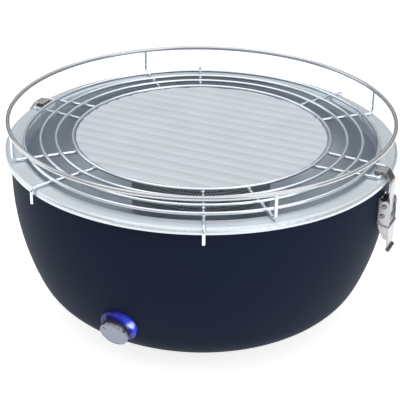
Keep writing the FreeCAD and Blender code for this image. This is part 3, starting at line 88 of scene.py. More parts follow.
# Knob axis, as the solids have it; knob and lit ring as radius and height above the seat, in mm
KNOB_SEAT = Vector((0.0, -155.65, 49.73)) * MM
KNOB_TILT = math.radians(20.4)
KNOB_PROFILE = ((0.0, 4.1), (11.8, 4.1), (12.2, 4.5), (12.2, 5.6), (12.5, 5.9), (12.5, 11.3), (12.4, 11.7),
                (12.0, 12.1), (11.5, 12.1), (11.3, 11.9), (0.0, 11.9))
RING_PROFILE = ((8.0, 2.5), (8.0, 3.1), (13.6, 3.1), (14.3, 3.3), (15.0, 3.5), (15.7, 3.2), (16.15, 2.4),
                (16.3, 1.2), (16.3, -1.3), (14.0, -1.3), (14.0, 2.5), (8.0, 2.5))
KNOB_STEPS = 96
MARK_ANGLE = math.radians(140)
MARK_REACH = 9.9 * MM
MARK_SIZE = Vector((2.6, 0.9, 0.3)) * MM
MARK_LEVEL = 11.85 * MM

# Perforated basket wall
BASKET_COLUMNS = 140
BASKET_ROWS = 14
BASKET_HEM = 1.6 * MM
BASKET_SHEET = 0.8 * MM
BASKET_HOLE = 0.95 * MM
HOLE_CORNERS = ((-1, -1), (0, -1), (1, -1), (1, 0), (1, 1), (0, 1), (-1, 1), (-1, 0))

# Weld nuggets where grate wires cross, as half sizes along and up
WELD_SIZE = Vector((2.1, 2.1, 1.2)) * MM
WELD_STEPS_AROUND = 14
WELD_STEPS_UP = 8
CROSSING_ROUNDS = 4

# Latch pins: profile of one end as radius and drop below its outer face, in mm
PIN_HEAD = ((0.0, 0.55), (0.9, 0.45), (1.25, 0.05), (1.7, 0.0), (2.2, 0.3), (2.35, 0.75), (2.35, 1.0))
PIN_STEPS = 32

# Rolled hem of each lever where its handle starts: spots on a cheek, out and up from the lever pin, in mm
LEVER_PIVOT = Vector((176.0, 0.0, 133.094)) * MM
HEM_SPOTS = ((-4.0, -14.6), (-2.6, -16.4), (-0.4, -17.8), (2.4, -18.4), (5.0, -18.5))
HEM_RADIUS = 1.0 * MM
HEM_STEPS = 10

# Feet and screws under the base as radius and height, in mm, and the ribs of the battery door
FOOT_PROFILE = ((0.0, 0.5), (3.0, 0.5), (3.5, 0.0), (6.7, 0.0), (7.3, 0.25), (7.65, 0.8), (8.85, 4.4),
                (9.0, 5.0), (0.0, 5.0))
FOOT_STEPS = 96
SCREW_PROFILE = ((2.4, 0.05), (2.8, 0.1), (3.0, 0.4), (3.0, 1.5), (1.5, 1.5), (1.5, 7.0), (0.0, 7.0))
SCREW_STEPS = 24
RECESS_ARM = 1.5 * MM
RECESS_HALF = 0.35 * MM
RECESS_DEPTH = 0.9 * MM
RIB_SPOTS = (34.0 * MM, 37.0 * MM, 40.0 * MM)
RIB_SIZE = Vector((24.0, 1.0, 0.8)) * MM

# Colours, and the heights in metres at which they change
BOWL_COLOR = (0.0155, 0.0240, 0.0510)
RIM_COLOR = (0.78, 0.85, 0.905)
# Inner bowl's wall below the flange: painted shade, a darker copy of the rim's steel
WALL_PAINTED_SHADE = (0.52, 0.58, 0.64)
RIM_GRAIN = (1500.0, 1500.0, 1500.0)
RIM_AND_SHADE_BANDS = ((0.100, WALL_PAINTED_SHADE), (0.1465, WALL_PAINTED_SHADE), (0.1490, RIM_COLOR), (0.160, RIM_COLOR))
RAIL_COLOR = (0.58, 0.60, 0.63)
WIRE_COLOR = (0.79, 0.85, 0.92)
PLATE_COLOR = (0.70, 0.75, 0.81)
BASKET_COLOR = (0.40, 0.40, 0.42)
KNOB_COLOR = (0.29, 0.31, 0.38)
LATCH_COLOR = (0.50, 0.51, 0.53)
LATCH_GRAIN = (2600.0, 2600.0, 90.0)
# Dark band across the sloped face of the hook straps: a painted reflection
HOOK_PAINTED_REFLECTION = (0.31, 0.30, 0.295)
# The lever is darker towards its tip
LEVER_DARK = (0.10, 0.10, 0.11)
LEVER_BANDS = ((0.080, LEVER_DARK), (0.0935, LEVER_DARK), (0.0950, LATCH_COLOR), (0.140, LATCH_COLOR))
HOOK_REFLECTION_BANDS = ((0.120, LATCH_COLOR), (0.1528, LATCH_COLOR), (0.1538, HOOK_PAINTED_REFLECTION), (0.1622, HOOK_PAINTED_REFLECTION),
              (0.1632, LATCH_COLOR), (0.170, LATCH_COLOR))
# Rivet steel, also put on the lever hems as painted shade of the gap beneath them
RIVET_AND_HEM_SHADE_COLOR = (0.34, 0.34, 0.35)
BRASS_COLOR = (0.70, 0.53, 0.24)
SHIELD_COLOR = (0.70, 0.71, 0.73)
INNER_STEEL_COLOR = (0.52, 0.53, 0.55)
BOARD_COLOR = (0.02, 0.15, 0.06)
CELL_COLOR = (0.10, 0.14, 0.30)
LEAD_COLOR = (0.10, 0.02, 0.02)
PLASTIC_COLOR = (0.018, 0.018, 0.020)
RUBBER_COLOR = (0.020, 0.020, 0.020)
LENS_COLOR = (0.008, 0.010, 0.09)

# Grain of the other metals, as how often it repeats along X, Y and Z, or outward from the axis
PLATE_GRAIN = (60.0, 2600.0, 2600.0)
WIRE_GRAIN = (400.0, 400.0, 400.0)
BASKET_GRAIN = (300.0, 300.0, 300.0)
FINE_GRAIN = (900.0, 900.0, 900.0)
SHIELD_GRAIN = (90.0, 900.0, 900.0)
INNER_STEEL_GRAIN = (900.0, 900.0, 90.0)
SPUN_GRAIN = 2600.0

# Finish: tones between two levels of the grain, how far roughness strays either way, and height of the grain
CLOUD_SCALE = 25.0
COAT_DETAIL = 2.0
TONE_LOW = 0.3
TONE_HIGH = 0.7
METAL_TONES = (0.95, 1.0)
BASKET_TONES = (0.8, 1.1)
COAT_TONES = (0.9, 1.08)
METAL_STRAY = (-0.06, 0.08)
SPUN_STRAY = (-0.05, 0.07)
COAT_STRAY = (-0.06, 0.06)
METAL_RELIEF = 0.05 * MM
SPUN_RELIEF = 0.04 * MM
COAT_RELIEF = 0.1 * MM

# Glow of the lens: where the lamp sits behind it, how far its light reaches, and its colour over that reach.
# The near-white stops closest to the lamp are a painted highlight
LENS_LAMP = Vector((13.2, 6.2, 3.2)) * MM
LENS_REACH = 32.0 * MM
LENS_GLOW_AND_HIGHLIGHT = ((0.0, (0.90, 0.95, 1.0)), (0.06, (0.55, 0.65, 1.0)), (0.14, (0.03, 0.05, 0.60)),
             (0.35, (0.012, 0.020, 0.34)), (0.6, (0.006, 0.006, 0.09)), (1.0, (0.005, 0.004, 0.04)))
LENS_ROUGHNESS = 0.12
LENS_STRAY = (-0.04, 0.06)
LENS_HAZE = 700.0
LENS_GLOSS = 0.3

# Edges: which stay sharp, which count as flat, and the bends of the hook straps
SHARP_ANGLE = math.radians(38)
FLAT_ANGLE = math.radians(1)
BEND_ANGLE = math.radians(30)
BEND_SHARE = 0.9
BEND_LEVEL = 150.0 * MM
TIP_LEVELS = (157.0 * MM, 161.0 * MM)
INNER_BEND = 0.6 * MM
OUTER_BEND = 1.6 * MM
BEND_STEPS = 5
EDGE_ROUNDING = 0.25 * MM
EDGE_STEPS = 2

# Spots closer than this count as one, in pieces made here and in the solids' meshes
PIECE_MERGE = MM / 1000
SOLID_MERGE = MM / 100


# Camera at the photograph's view
def camera():
    data = bpy.data.cameras.new("camera")
    data.sensor_width = SENSOR_WIDTH
    data.lens = FOCAL_PIXELS / IMAGE_SIDE * SENSOR_WIDTH
    obj = bpy.data.objects.new("camera", data)
    scene.collection.objects.link(obj)
    flat = math.cos(CAMERA_ELEVATION)
    rise = math.sin(CAMERA_ELEVATION)
    away = Vector((math.sin(CAMERA_AZIMUTH) * flat, -math.cos(CAMERA_AZIMUTH) * flat, rise))
    turn = away.to_track_quat("Z", "Y").to_matrix() @ Matrix.Rotation(CAMERA_ROLL, 3, "Z")
    obj.matrix_world = Matrix.Translation(CAMERA_TARGET + away * CAMERA_DISTANCE) @ turn.to_4x4()
    scene.camera = obj


# Node helpers for the materials
def add(tree, kind, **inputs):
    item = tree.nodes.new(kind)
    for name, value in inputs.items():
        item.inputs[name.replace("_", " ")].default_value = value
    return item


def material(name, color, metallic, roughness):
    made = bpy.data.materials.new(name)
    made.use_nodes = True
    shader = made.node_tree.nodes["Principled BSDF"]
    shader.inputs["Base Color"].default_value = (*color, 1.0)
    shader.inputs["Metallic"].default_value = metallic
    shader.inputs["Roughness"].default_value = roughness
    made.diffuse_color = (*color, 1.0)
    return made, made.node_tree, shader


def place(tree):
    return tree.nodes.new("ShaderNodeTexCoord").outputs["Object"]


def noise(tree, vector, scale, detail=3.0):
    item = add(tree, "ShaderNodeTexNoise", Scale=scale, Detail=detail)
    tree.links.new(vector, item.inputs["Vector"])
    return item.outputs["Fac"]


def stretched(tree, vector, scale):
    item = add(tree, "ShaderNodeMapping", Scale=scale)
    tree.links.new(vector, item.inputs["Vector"])
    return item.outputs["Vector"]


def spread(tree, factor, low, high):
    item = add(tree, "ShaderNodeMapRange", To_Min=low, To_Max=high)
    tree.links.new(factor, item.inputs["Value"])
    return item.outputs["Result"]


def shades(tree, factor, stops):
    item = tree.nodes.new("ShaderNodeValToRGB")
    ramp = item.color_ramp
    while len(ramp.elements) < len(stops):
        ramp.elements.new(1.0)
    for element, (position, color) in zip(ramp.elements, stops):
        element.position = position
        element.color = (*color, 1.0)
    tree.links.new(factor, item.inputs["Fac"])
    return item.outputs["Color"]


def bump(tree, shader, height, strength, distance):
    item = add(tree, "ShaderNodeBump", Strength=strength, Distance=distance)
    tree.links.new(height, item.inputs["Height"])
    tree.links.new(item.outputs["Normal"], shader.inputs["Normal"])


# Distance from the upright axis, for turned and spun surfaces
def axis_distance(tree, vector):
    flat = stretched(tree, vector, (1.0, 1.0, 0.0))
    item = tree.nodes.new("ShaderNodeVectorMath")
    item.operation = "LENGTH"
    tree.links.new(flat, item.inputs[0])
    return item.outputs["Value"]


def height_of(tree, vector):
    item = tree.nodes.new("ShaderNodeSeparateXYZ")
    tree.links.new(vector, item.inputs["Vector"])
    return item.outputs["Z"]


def as_vector(tree, value):
    item = tree.nodes.new("ShaderNodeCombineXYZ")
    tree.links.new(value, item.inputs["X"])
    return item.outputs["Vector"]


def tinted(color, share):
    return tuple(min(1.0, part * share) for part in color)


def toned(tree, shader, grain, color, tones):
    low, high = tones
    tone = shades(tree, grain, ((TONE_LOW, tinted(color, low)), (TONE_HIGH, tinted(color, high))))
    tree.links.new(tone, shader.inputs["Base Color"])


def roughened(tree, shader, grain, roughness, stray):
    low, high = stray
    level = spread(tree, grain, roughness + low, roughness + high)
    tree.links.new(level, shader.inputs["Roughness"])


# A metal whose grain runs along one direction, given by how far the noise is stretched
def grained_metal(name, color, roughness, grain, depth, tones=METAL_TONES, metallic=1.0):
    made, tree, shader = material(name, color, metallic, roughness)
    where = place(tree)
    lines = noise(tree, stretched(tree, where, grain), 1.0)
    toned(tree, shader, noise(tree, where, CLOUD_SCALE), color, tones)
    roughened(tree, shader, lines, roughness, METAL_STRAY)
    bump(tree, shader, lines, depth, METAL_RELIEF)
    return made


# A metal spun or turned about its own axis
def spun_metal(name, color, roughness, depth):
    made, tree, shader = material(name, color, 1.0, roughness)
    where = place(tree)
    lines = noise(tree, as_vector(tree, axis_distance(tree, where)), SPUN_GRAIN)
    toned(tree, shader, lines, color, METAL_TONES)
    roughened(tree, shader, lines, roughness, SPUN_STRAY)
    bump(tree, shader, lines, depth, SPUN_RELIEF)
    return made


# A metal whose tone changes with height: painted shade on the inner bowl's wall, a painted reflection across
# the hook straps, and a darker lever tip
def banded_metal(name, color, roughness, grain, bands, depth=0.15, metallic=1.0):
    made, tree, shader = material(name, color, metallic, roughness)
    where = place(tree)
    lines = noise(tree, stretched(tree, where, grain), 1.0)
    low = bands[0][0]
    high = bands[-1][0]
    share = add(tree, "ShaderNodeMapRange", From_Min=low, From_Max=high)
    tree.links.new(height_of(tree, where), share.inputs["Value"])
    stops = [((level - low) / (high - low), tone) for level, tone in bands]
    tree.links.new(shades(tree, share.outputs["Result"], stops), shader.inputs["Base Color"])
    roughened(tree, shader, lines, roughness, METAL_STRAY)
    bump(tree, shader, lines, depth, METAL_RELIEF)
    return made


# A surface with fine grain all over, for paint, plastic and rubber
def grainy(name, color, roughness, scale, depth, gloss=0.5):
    made, tree, shader = material(name, color, 0.0, roughness)
    shader.inputs["Specular IOR Level"].default_value = gloss
    grain = noise(tree, place(tree), scale, COAT_DETAIL)
    toned(tree, shader, grain, color, COAT_TONES)
    roughened(tree, shader, grain, roughness, COAT_STRAY)
    bump(tree, shader, grain, depth, COAT_RELIEF)
    return made


# Blue lens of the lit ring, brightest over the lamp behind it, where it carries a painted white highlight
def lens():
    made, tree, shader = material("light_lens", LENS_COLOR, metallic=0.0, roughness=LENS_ROUGHNESS)
    where = place(tree)
    away = tree.nodes.new("ShaderNodeVectorMath")
    away.operation = "DISTANCE"
    tree.links.new(where, away.inputs[0])
    away.inputs[1].default_value = LENS_LAMP
    share = add(tree, "ShaderNodeMapRange", From_Max=LENS_REACH)
    tree.links.new(away.outputs["Value"], share.inputs["Value"])
    glow = shades(tree, share.outputs["Result"], LENS_GLOW_AND_HIGHLIGHT)
    tree.links.new(glow, shader.inputs["Emission Color"])
    shader.inputs["Emission Strength"].default_value = 1.0
    shader.inputs["Specular IOR Level"].default_value = LENS_GLOSS
    roughened(tree, shader, noise(tree, where, LENS_HAZE), LENS_ROUGHNESS, LENS_STRAY)
    return made


def dress(made, *names):
    for name in names:
        slots = nodes[name].material_slots
        for slot in slots:
            slot.material = made
        if not slots:
            nodes[name].data.materials.append(made)


# White studio: the view and glass show plain white, metal shows a pale ceiling over a dimmer horizon
def world():
    made = bpy.data.worlds.new("studio")
    made.use_nodes = True
    scene.world = made
    tree = made.node_tree
    tree.nodes.clear()
    path = tree.nodes.new("ShaderNodeLightPath")
    light = add(tree, "ShaderNodeBackground", Color=WHITE, Strength=SKY_LIGHT)
    mirrored = tree.nodes.new("ShaderNodeBackground")
    tree.links.new(ceiling(tree), mirrored.inputs["Color"])
    seen = add(tree, "ShaderNodeBackground", Color=WHITE, Strength=1.0)
    metal = blended(tree, path.outputs["Is Glossy Ray"], light, mirrored)
    glass = blended(tree, path.outputs["Is Transmission Ray"], metal, seen)
    direct = blended(tree, path.outputs["Is Camera Ray"], glass, seen)
    out = tree.nodes.new("ShaderNodeOutputWorld")
    tree.links.new(direct.outputs[0], out.inputs["Surface"])


def ceiling(tree):
    where = tree.nodes.new("ShaderNodeTexCoord").outputs["Generated"]
    stops = [(rise, (level, level, level)) for rise, level in CEILING_LEVELS]
    return shades(tree, height_of(tree, where), stops)


def blended(tree, factor, first, second):
    item = tree.nodes.new("ShaderNodeMixShader")
    tree.links.new(factor, item.inputs["Fac"])
    tree.links.new(first.outputs[0], item.inputs[1])
    tree.links.new(second.outputs[0], item.inputs[2])
    return item


def seen_directly(tree):
    path = tree.nodes.new("ShaderNodeLightPath")
    total = path.outputs["Is Camera Ray"]
    for name in ("Is Glossy Ray", "Is Transmission Ray"):
        item = tree.nodes.new("ShaderNodeMath")
        item.operation = "MAXIMUM"
        tree.links.new(total, item.inputs[0])
        tree.links.new(path.outputs[name], item.inputs[1])
        total = item.outputs["Value"]
    return total


# White floor that keeps the object's shadow, and can be looked through from below
def floor():
    bpy.ops.mesh.primitive_circle_add(vertices=FLOOR_STEPS, radius=FLOOR_RADIUS, fill_type="NGON")
    obj = bpy.context.object
    obj.name = "floor"
    made = bpy.data.materials.new("floor")
    made.use_nodes = True
    tree = made.node_tree
    tree.nodes.clear()
    matte = add(tree, "ShaderNodeBsdfDiffuse", Color=FLOOR_COLOR)
    lit = add(tree, "ShaderNodeEmission", Color=WHITE, Strength=FLOOR_GLOW)
    both = tree.nodes.new("ShaderNodeAddShader")
    tree.links.new(matte.outputs["BSDF"], both.inputs[0])
    tree.links.new(lit.outputs["Emission"], both.inputs[1])
    above = blended(tree, seen_directly(tree), matte, both)
    clear = tree.nodes.new("ShaderNodeBsdfTransparent")
    side = tree.nodes.new("ShaderNodeNewGeometry").outputs["Backfacing"]
    both_sides = blended(tree, side, above, clear)
    out = tree.nodes.new("ShaderNodeOutputMaterial")
    tree.links.new(both_sides.outputs["Shader"], out.inputs["Surface"])
    obj.data.materials.append(made)


def lamp(name, spot, width, power):
    data = bpy.data.lights.new(name, "AREA")
    data.shape = "RECTANGLE"
    data.size = width
    data.size_y = width
    data.energy = power
    obj = bpy.data.objects.new(name, data)
    scene.collection.objects.link(obj)
    obj.location = spot
    obj.rotation_euler = (LAMP_AIM - Vector(spot)).to_track_quat("-Z", "Y").to_euler()


def lamps():
    lamp("top_lamp", spot=(0.0, 0.2, 2.0), width=2.4, power=13.5)
    lamp("left_lamp", spot=(-1.5, -0.2, 0.6), width=1.0, power=3.0)
    lamp("right_lamp", spot=(1.3, -0.5, 0.7), width=1.0, power=3.2)


# Mesh helpers: turned forms, small boxes, and the finishing of a piece
def turned(profile, steps, at=Matrix(), mesh=None):
    mesh = mesh or bmesh.new()
    rings = []
    for radius, height in profile:
        count = steps if radius else 1
        turns = [2 * math.pi * step / steps for step in range(count)]
        spots = [Vector((math.cos(turn) * radius, math.sin(turn) * radius, height)) * MM for turn in turns]
        rings.append([mesh.verts.new(at @ spot) for spot in spots])
    for low, high in zip(rings, rings[1:]):
        for step in range(steps):
            after = step + 1
            lower = [low[step % len(low)], low[after % len(low)]]
            upper = [high[after % len(high)], high[step % len(high)]]
            mesh.faces.new(list(dict.fromkeys(lower + upper)))
    return mesh


def block(mesh, size, at):
    bmesh.ops.create_cube(mesh, size=1.0, matrix=at @ Matrix.Diagonal((*size, 1.0)))


def piece(name, mesh, made, body, at=Matrix()):
    bmesh.ops.remove_doubles(mesh, verts=mesh.verts, dist=PIECE_MERGE)
    bmesh.ops.recalc_face_normals(mesh, faces=mesh.faces)
    for face in mesh.faces:
        face.smooth = True
    for edge in mesh.edges:
        edge.smooth = len(edge.link_faces) == 2 and edge.calc_face_angle() < SHARP_ANGLE
    data = bpy.data.meshes.new(name)
    mesh.to_mesh(data)
    mesh.free()
    data.materials.append(made)
    obj = bpy.data.objects.new(name, data)
    scene.collection.objects.link(obj)
    obj.matrix_world = at
    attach(obj, body)
    return obj


def softened(obj, width):
    edges = obj.modifiers.new("edges", "BEVEL")
    edges.width = width
    edges.segments = EDGE_STEPS
    edges.limit_method = "ANGLE"
    edges.angle_limit = SHARP_ANGLE


# Separate solids of one node: the middle of each
def islands(name):
    mesh = bmesh.new()
    mesh.from_mesh(nodes[name].data)
    bmesh.ops.remove_doubles(mesh, verts=mesh.verts, dist=SOLID_MERGE)
    left = set(mesh.verts)
    middles = []
    while left:
        front = [left.pop()]
        found = []
        while front:
            vert = front.pop()
            found.append(vert.co.copy())
            near = {edge.other_vert(vert) for edge in vert.link_edges} & left
            left -= near
            front.extend(near)
        middles.append(sum(found, Vector()) / len(found))
    mesh.free()
    return middles


# Basket wall: staggered rows of small round holes between plain hems
def basket_wall(made):
    low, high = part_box("basket_wall")
    mesh = bmesh.new()
    lap = 2 * BASKET_COLUMNS
    half_step = 2 * math.pi * high.x / lap
    half_rise = (high.z - low.z - 2 * BASKET_HEM) / BASKET_ROWS / 2
    corners = {}

    def spot(around, up):
        turn = 2 * math.pi * around / lap
        return (high.x * math.cos(turn), high.x * math.sin(turn), low.z + BASKET_HEM + half_rise * up)

    def corner(around, up):
        key = (around % lap, up)
        if key not in corners:
            corners[key] = mesh.verts.new(spot(*key))
        return corners[key]

    for row in range(BASKET_ROWS):
        for column in range(BASKET_COLUMNS):
            around = 2 * column + row % 2
            up = 2 * row + 1
            outline = [corner(around + side, up + level) for side, level in HOLE_CORNERS]
            hole = []
            for side, level in HOLE_CORNERS:
                share = BASKET_HOLE / math.hypot(side, level)
                edge = spot(around + side * share / half_step, up + level * share / half_rise)
                hole.append(mesh.verts.new(edge))
            for first in range(len(outline)):
                after = (first + 1) % len(outline)
                mesh.faces.new((outline[first], outline[after], hole[after], hole[first]))
    for up, level in ((0, low.z), (2 * BASKET_ROWS, high.z)):
        hem = []
        for around in range(lap):
            x, y, _ = spot(around, up)
            hem.append(mesh.verts.new((x, y, level)))
        for around in range(lap):
            after = (around + 1) % lap
            mesh.faces.new((corner(around, up), corner(after, up), hem[after], hem[around]))
    obj = piece("basket_wall_mesh", mesh, made, "grill_body")
    sheet = obj.modifiers.new("sheet", "SOLIDIFY")
    sheet.thickness = BASKET_SHEET
    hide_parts("basket_wall")


# Knob and lit ring on the tilted axis that the solids give
def knob_frame():
    out = Vector((0.0, -math.cos(KNOB_TILT), -math.sin(KNOB_TILT)))
    across = Vector((1.0, 0.0, 0.0))
    turn = Matrix((across, out.cross(across), out)).transposed()
    return Matrix.Translation(KNOB_SEAT) @ turn.to_4x4()


def knob(made, mark):
    form = turned(KNOB_PROFILE, KNOB_STEPS)
    obj = piece("knob_turned", form, made, "knob", knob_frame())
    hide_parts("speed_knob")
    mesh = bmesh.new()
    block(mesh, MARK_SIZE, Matrix.Translation((MARK_REACH, 0.0, MARK_LEVEL)))
    turn = Matrix.Rotation(MARK_ANGLE, 4, "Z")
    piece("knob_mark", mesh, mark, "knob", knob_frame() @ turn)


def lit_ring(made):
    form = turned(RING_PROFILE, KNOB_STEPS)
    obj = piece("lit_ring", form, made, "grill_body", knob_frame())
    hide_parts("light_ring")


# Weld nuggets at each crossing of a ring with a spoke or a loop
def loop_crossing(reach, side):
    x = reach
    for _ in range(CROSSING_ROUNDS):
        share = (x - LOOP_INNER.x) / (LOOP_OUTER.x - LOOP_INNER.x)
        y = LOOP_INNER.y + (LOOP_OUTER.y - LOOP_INNER.y) * share
        x = math.sqrt(reach ** 2 - y ** 2)
    return math.atan2(y * side, x)


def welds(made):
    mesh = bmesh.new()
    size = Matrix.Diagonal((*WELD_SIZE, 1.0))
    for name in RING_NODES:
        low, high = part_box(name)
        reach = high.x - WIRE_RADIUS
        turns = [math.radians(angle) for angle in POST_ANGLES + FOOT_SPOKE_ANGLES]
        for angle in LOOP_ANGLES:
            turns += [math.radians(angle) + loop_crossing(reach, side) for side in (1, -1)]
        for turn in turns:
            spot = Matrix.Translation((reach * math.cos(turn), reach * math.sin(turn), low.z))
            bmesh.ops.create_uvsphere(mesh, u_segments=WELD_STEPS_AROUND, v_segments=WELD_STEPS_UP,
                                      radius=1.0, matrix=spot @ size)
    piece("grate_welds", mesh, made, "grill_body")


# Latch pins as hollow rivets with rounded heads at both ends
def pin(name, body, made):
    low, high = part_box(name)
    half = (high.y - low.y) / 2 / MM
    middle = (low + high) / 2
    upper = [(radius, half - drop) for radius, drop in PIN_HEAD]
    lower = [(radius, drop - half) for radius, drop in reversed(PIN_HEAD)]
    at = Matrix.Translation(middle) @ Matrix.Rotation(-math.pi / 2, 4, "X")
    obj = piece(f"{name}_rivet", turned(upper + lower, PIN_STEPS), made, body, at)
    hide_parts(name)


# Hook straps with the bends of folded sheet: the solid's outline, rounded where it turns across the strap
def strap_bends(mesh, width, outside):
    bends = []
    for edge in mesh.edges:
        first, second = (vert.co for vert in edge.verts)
        whole = abs(first.y - second.y) > width * BEND_SHARE
        turn = whole and first.z > BEND_LEVEL and edge.calc_face_angle(0.0) > BEND_ANGLE
        tip = TIP_LEVELS[0] < first.z < TIP_LEVELS[1]
        if turn and (edge.is_convex and not tip) == outside:
            bends.append(edge)
    return bends


def hook_strap(name, body, made):
    low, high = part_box(name)
    mesh = bmesh.new()
    mesh.from_mesh(nodes[name].data)
    bmesh.ops.remove_doubles(mesh, verts=mesh.verts, dist=SOLID_MERGE)
    bmesh.ops.dissolve_limit(mesh, angle_limit=FLAT_ANGLE, verts=mesh.verts, edges=mesh.edges)
    for outside, rounding in ((False, INNER_BEND), (True, OUTER_BEND)):
        bends = strap_bends(mesh, high.y - low.y, outside)
        bmesh.ops.bevel(mesh, geom=bends, offset=rounding, segments=BEND_STEPS, profile=0.5, affect="EDGES")
    obj = piece(f"{name}_strap", mesh, made, body)
    softened(obj, EDGE_ROUNDING)
    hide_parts(name)


# Rolled hem of a lever: a bead along one cheek, across the front plate and back along the other cheek
def bead(spots, radius, steps):
    mesh = bmesh.new()
    rings = []
    for number, spot in enumerate(spots):
        ahead = spots[min(number + 1, len(spots) - 1)] - spots[max(number - 1, 0)]
        turn = ahead.to_track_quat("Z", "Y").to_matrix()
        angles = [2 * math.pi * step / steps for step in range(steps)]
        ring = [turn @ Vector((math.cos(angle), math.sin(angle), 0.0)) * radius for angle in angles]
        rings.append([mesh.verts.new(spot + offset) for offset in ring])
    for first, second in zip(rings, rings[1:]):
        for step in range(steps):
            after = (step + 1) % steps
            mesh.faces.new((first[step], first[after], second[after], second[step]))
    mesh.faces.new(rings[0])
    mesh.faces.new(rings[-1])
    return mesh


def lever_hem(side, made):
    low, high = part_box(f"latch_lever_{side}")
    out = 1 if side == "right" else -1
    half = (high.y - low.y) / 2
    cheek = [Vector((LEVER_PIVOT.x + x * MM, -half, LEVER_PIVOT.z + z * MM)) for x, z in HEM_SPOTS]
    other = [Vector((spot.x, half, spot.z)) for spot in reversed(cheek)]
    spots = [Vector((spot.x * out, spot.y, spot.z)) for spot in cheek + other]
    form = bead(spots, HEM_RADIUS, HEM_STEPS)
    piece(f"latch_lever_{side}_hem", form, made, f"lever_{side}")


# Screws with a cross recess, soft feet, and grip ribs on the battery door
def cross_head(mesh, at):
    arms = []
    for quarter in range(4):
        turn = Matrix.Rotation(quarter * math.pi / 2, 3, "Z")
        for spot in ((RECESS_ARM, -RECESS_HALF), (RECESS_ARM, RECESS_HALF), (RECESS_HALF, RECESS_HALF)):
            arms.append(turn @ Vector((*spot, SCREW_PROFILE[0][1] * MM)))
    top = [mesh.verts.new(at @ spot) for spot in arms]
    deep = [mesh.verts.new(at @ (spot + Vector((0.0, 0.0, RECESS_DEPTH)))) for spot in arms]
    reach, level = SCREW_PROFILE[0]
    turns = [2 * math.pi * step / SCREW_STEPS for step in range(SCREW_STEPS)]
    circle = [Vector((reach * math.cos(turn), reach * math.sin(turn), level)) * MM for turn in turns]
    rim = [mesh.verts.new(at @ spot) for spot in circle]
    edges = []
    for ring in (top, rim):
        edges += [mesh.edges.new((ring[step], ring[(step + 1) % len(ring)])) for step in range(len(ring))]
    bmesh.ops.triangle_fill(mesh, use_beauty=True, edges=edges)
    for step in range(len(top)):
        after = (step + 1) % len(top)
        mesh.faces.new((top[step], top[after], deep[after], deep[step]))
    mesh.faces.new(deep)


def screws(made):
    low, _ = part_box("base_screws")
    mesh = bmesh.new()
    for middle in islands("base_screws"):
        at = Matrix.Translation((middle.x, middle.y, low.z))
        turned(SCREW_PROFILE, SCREW_STEPS, at, mesh)
        cross_head(mesh, at)
    obj = piece("base_screws_cross", mesh, made, "grill_body")
    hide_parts("base_screws")


def feet(made):
    mesh = bmesh.new()
    for middle in islands("rubber_feet"):
        turned(FOOT_PROFILE, FOOT_STEPS, Matrix.Translation((middle.x, middle.y, 0.0)), mesh)
    obj = piece("rubber_feet_soft", mesh, made, "grill_body")
    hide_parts("rubber_feet")


def door_ribs(made):
    low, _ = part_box("battery_door")
    mesh = bmesh.new()
    for y in RIB_SPOTS:
        block(mesh, RIB_SIZE, Matrix.Translation((0.0, y, low.z)))
    softened(piece("door_grip_ribs", mesh, made, "door"), EDGE_ROUNDING)


# Materials of the nodes that stay as the solids have them, and the pieces that stand for the others
def dress_nodes():
    paint = grainy("bowl_paint", BOWL_COLOR, roughness=0.55, scale=1800.0, depth=0.10, gloss=0.05)
    dress(paint, "outer_bowl")
    # The inner bowl's steel turns darker below the flange: painted shade
    rim = banded_metal("rim_steel", RIM_COLOR, 0.30, RIM_GRAIN, RIM_AND_SHADE_BANDS, depth=0.01, metallic=0.65)
    dress(rim, "inner_bowl", "ignition_tray")
    plate = grained_metal("plate_steel", PLATE_COLOR, 0.55, PLATE_GRAIN, depth=0.12, metallic=0.45)
    dress(plate, "drip_plate")
    dress(grainy("board_green", BOARD_COLOR, roughness=0.4, scale=900.0, depth=0.1), "light_board")
    brass = grained_metal("nut_brass", BRASS_COLOR, 0.25, FINE_GRAIN, depth=0.1)
    dress(brass, "control_nut", "battery_contacts")
    shield = grained_metal("shield_aluminium", SHIELD_COLOR, 0.35, SHIELD_GRAIN, depth=0.15)
    dress(shield, "heat_shield", "air_duct")
    dress(grainy("cell_wrap", CELL_COLOR, roughness=0.3, scale=400.0, depth=0.05), "batteries")
    jacket = grainy("lead_jacket", LEAD_COLOR, roughness=0.5, scale=900.0, depth=0.1)
    dress(jacket, "battery_lead", "motor_lead")


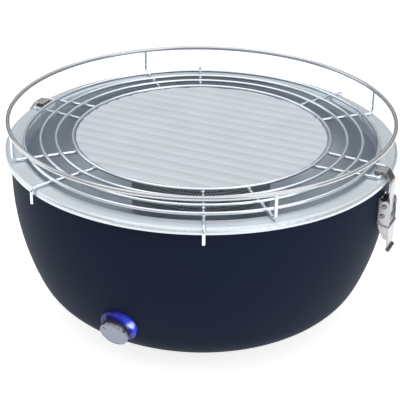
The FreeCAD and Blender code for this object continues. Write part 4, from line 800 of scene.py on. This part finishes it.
def grate():
    rail = grained_metal("rail_chrome", RAIL_COLOR, 0.13, WIRE_GRAIN, depth=0.05)
    dress(rail, "grate_rail")
    wire = grained_metal("grate_chrome", WIRE_COLOR, 0.13, WIRE_GRAIN, depth=0.05)
    dress(wire, "grate_posts", "grate_foot_spokes", "grate_loop_right", "grate_loop_left", *RING_NODES)
    welds(wire)


def basket():
    steel = grained_metal("basket_steel", BASKET_COLOR, 0.42, BASKET_GRAIN, depth=0.15, tones=BASKET_TONES)
    dress(steel, "basket_floor", "basket_skirt", "basket_lid", "lid_handle")
    basket_wall(steel)


def latches():
    steel = grained_metal("latch_steel", LATCH_COLOR, 0.24, LATCH_GRAIN, depth=0.2)
    lever = banded_metal("lever_steel", LATCH_COLOR, 0.24, LATCH_GRAIN, LEVER_BANDS)
    # The hook straps carry a painted reflection: a dark band on their sloped face
    hook = banded_metal("hook_steel_painted_reflection", LATCH_COLOR, 0.24, LATCH_GRAIN, HOOK_REFLECTION_BANDS)
    rivet = grained_metal("rivet_steel_and_hem_shade", RIVET_AND_HEM_SHADE_COLOR, 0.30, FINE_GRAIN, depth=0.1)
    for side in ("right", "left"):
        dress(steel, f"latch_base_{side}", f"latch_rivets_{side}")
        dress(lever, f"latch_lever_{side}")
        # The hem is dressed in the darker rivet steel as painted shade of the gap beneath it
        lever_hem(side, rivet)
        hook_strap(f"latch_hook_{side}", f"hook_{side}", hook)
        pin(f"latch_lever_pin_{side}", "grill_body", rivet)
        pin(f"latch_hook_pin_{side}", f"lever_{side}", rivet)
        for name in ("latch_base", "latch_lever"):
            softened(nodes[f"{name}_{side}"], EDGE_ROUNDING)


def control():
    plastic = grainy("black_plastic", PLASTIC_COLOR, roughness=0.55, scale=1600.0, depth=0.2)
    dress(plastic, "base_plate", "battery_box", "battery_door")
    dress(plastic, "fan_shroud", "fan_impeller", "speed_control")
    door_ribs(plastic)
    knob(spun_metal("knob_aluminium", KNOB_COLOR, roughness=0.18, depth=0.1), plastic)
    lit_ring(lens())


def underside():
    rubber = grainy("black_rubber", RUBBER_COLOR, roughness=0.75, scale=1200.0, depth=0.25)
    dress(rubber, "rim_gasket")
    feet(rubber)
    steel = grained_metal("inner_steel", INNER_STEEL_COLOR, 0.3, INNER_STEEL_GRAIN, depth=0.15)
    dress(steel, "fan_motor", "motor_shaft", "knob_shaft", "door_hinge_pin", "shield_rivets")
    screws(steel)


camera()
world()
floor()
lamps()
dress_nodes()
grate()
basket()
latches()
control()
underside()

scene.view_settings.view_transform = "Standard"
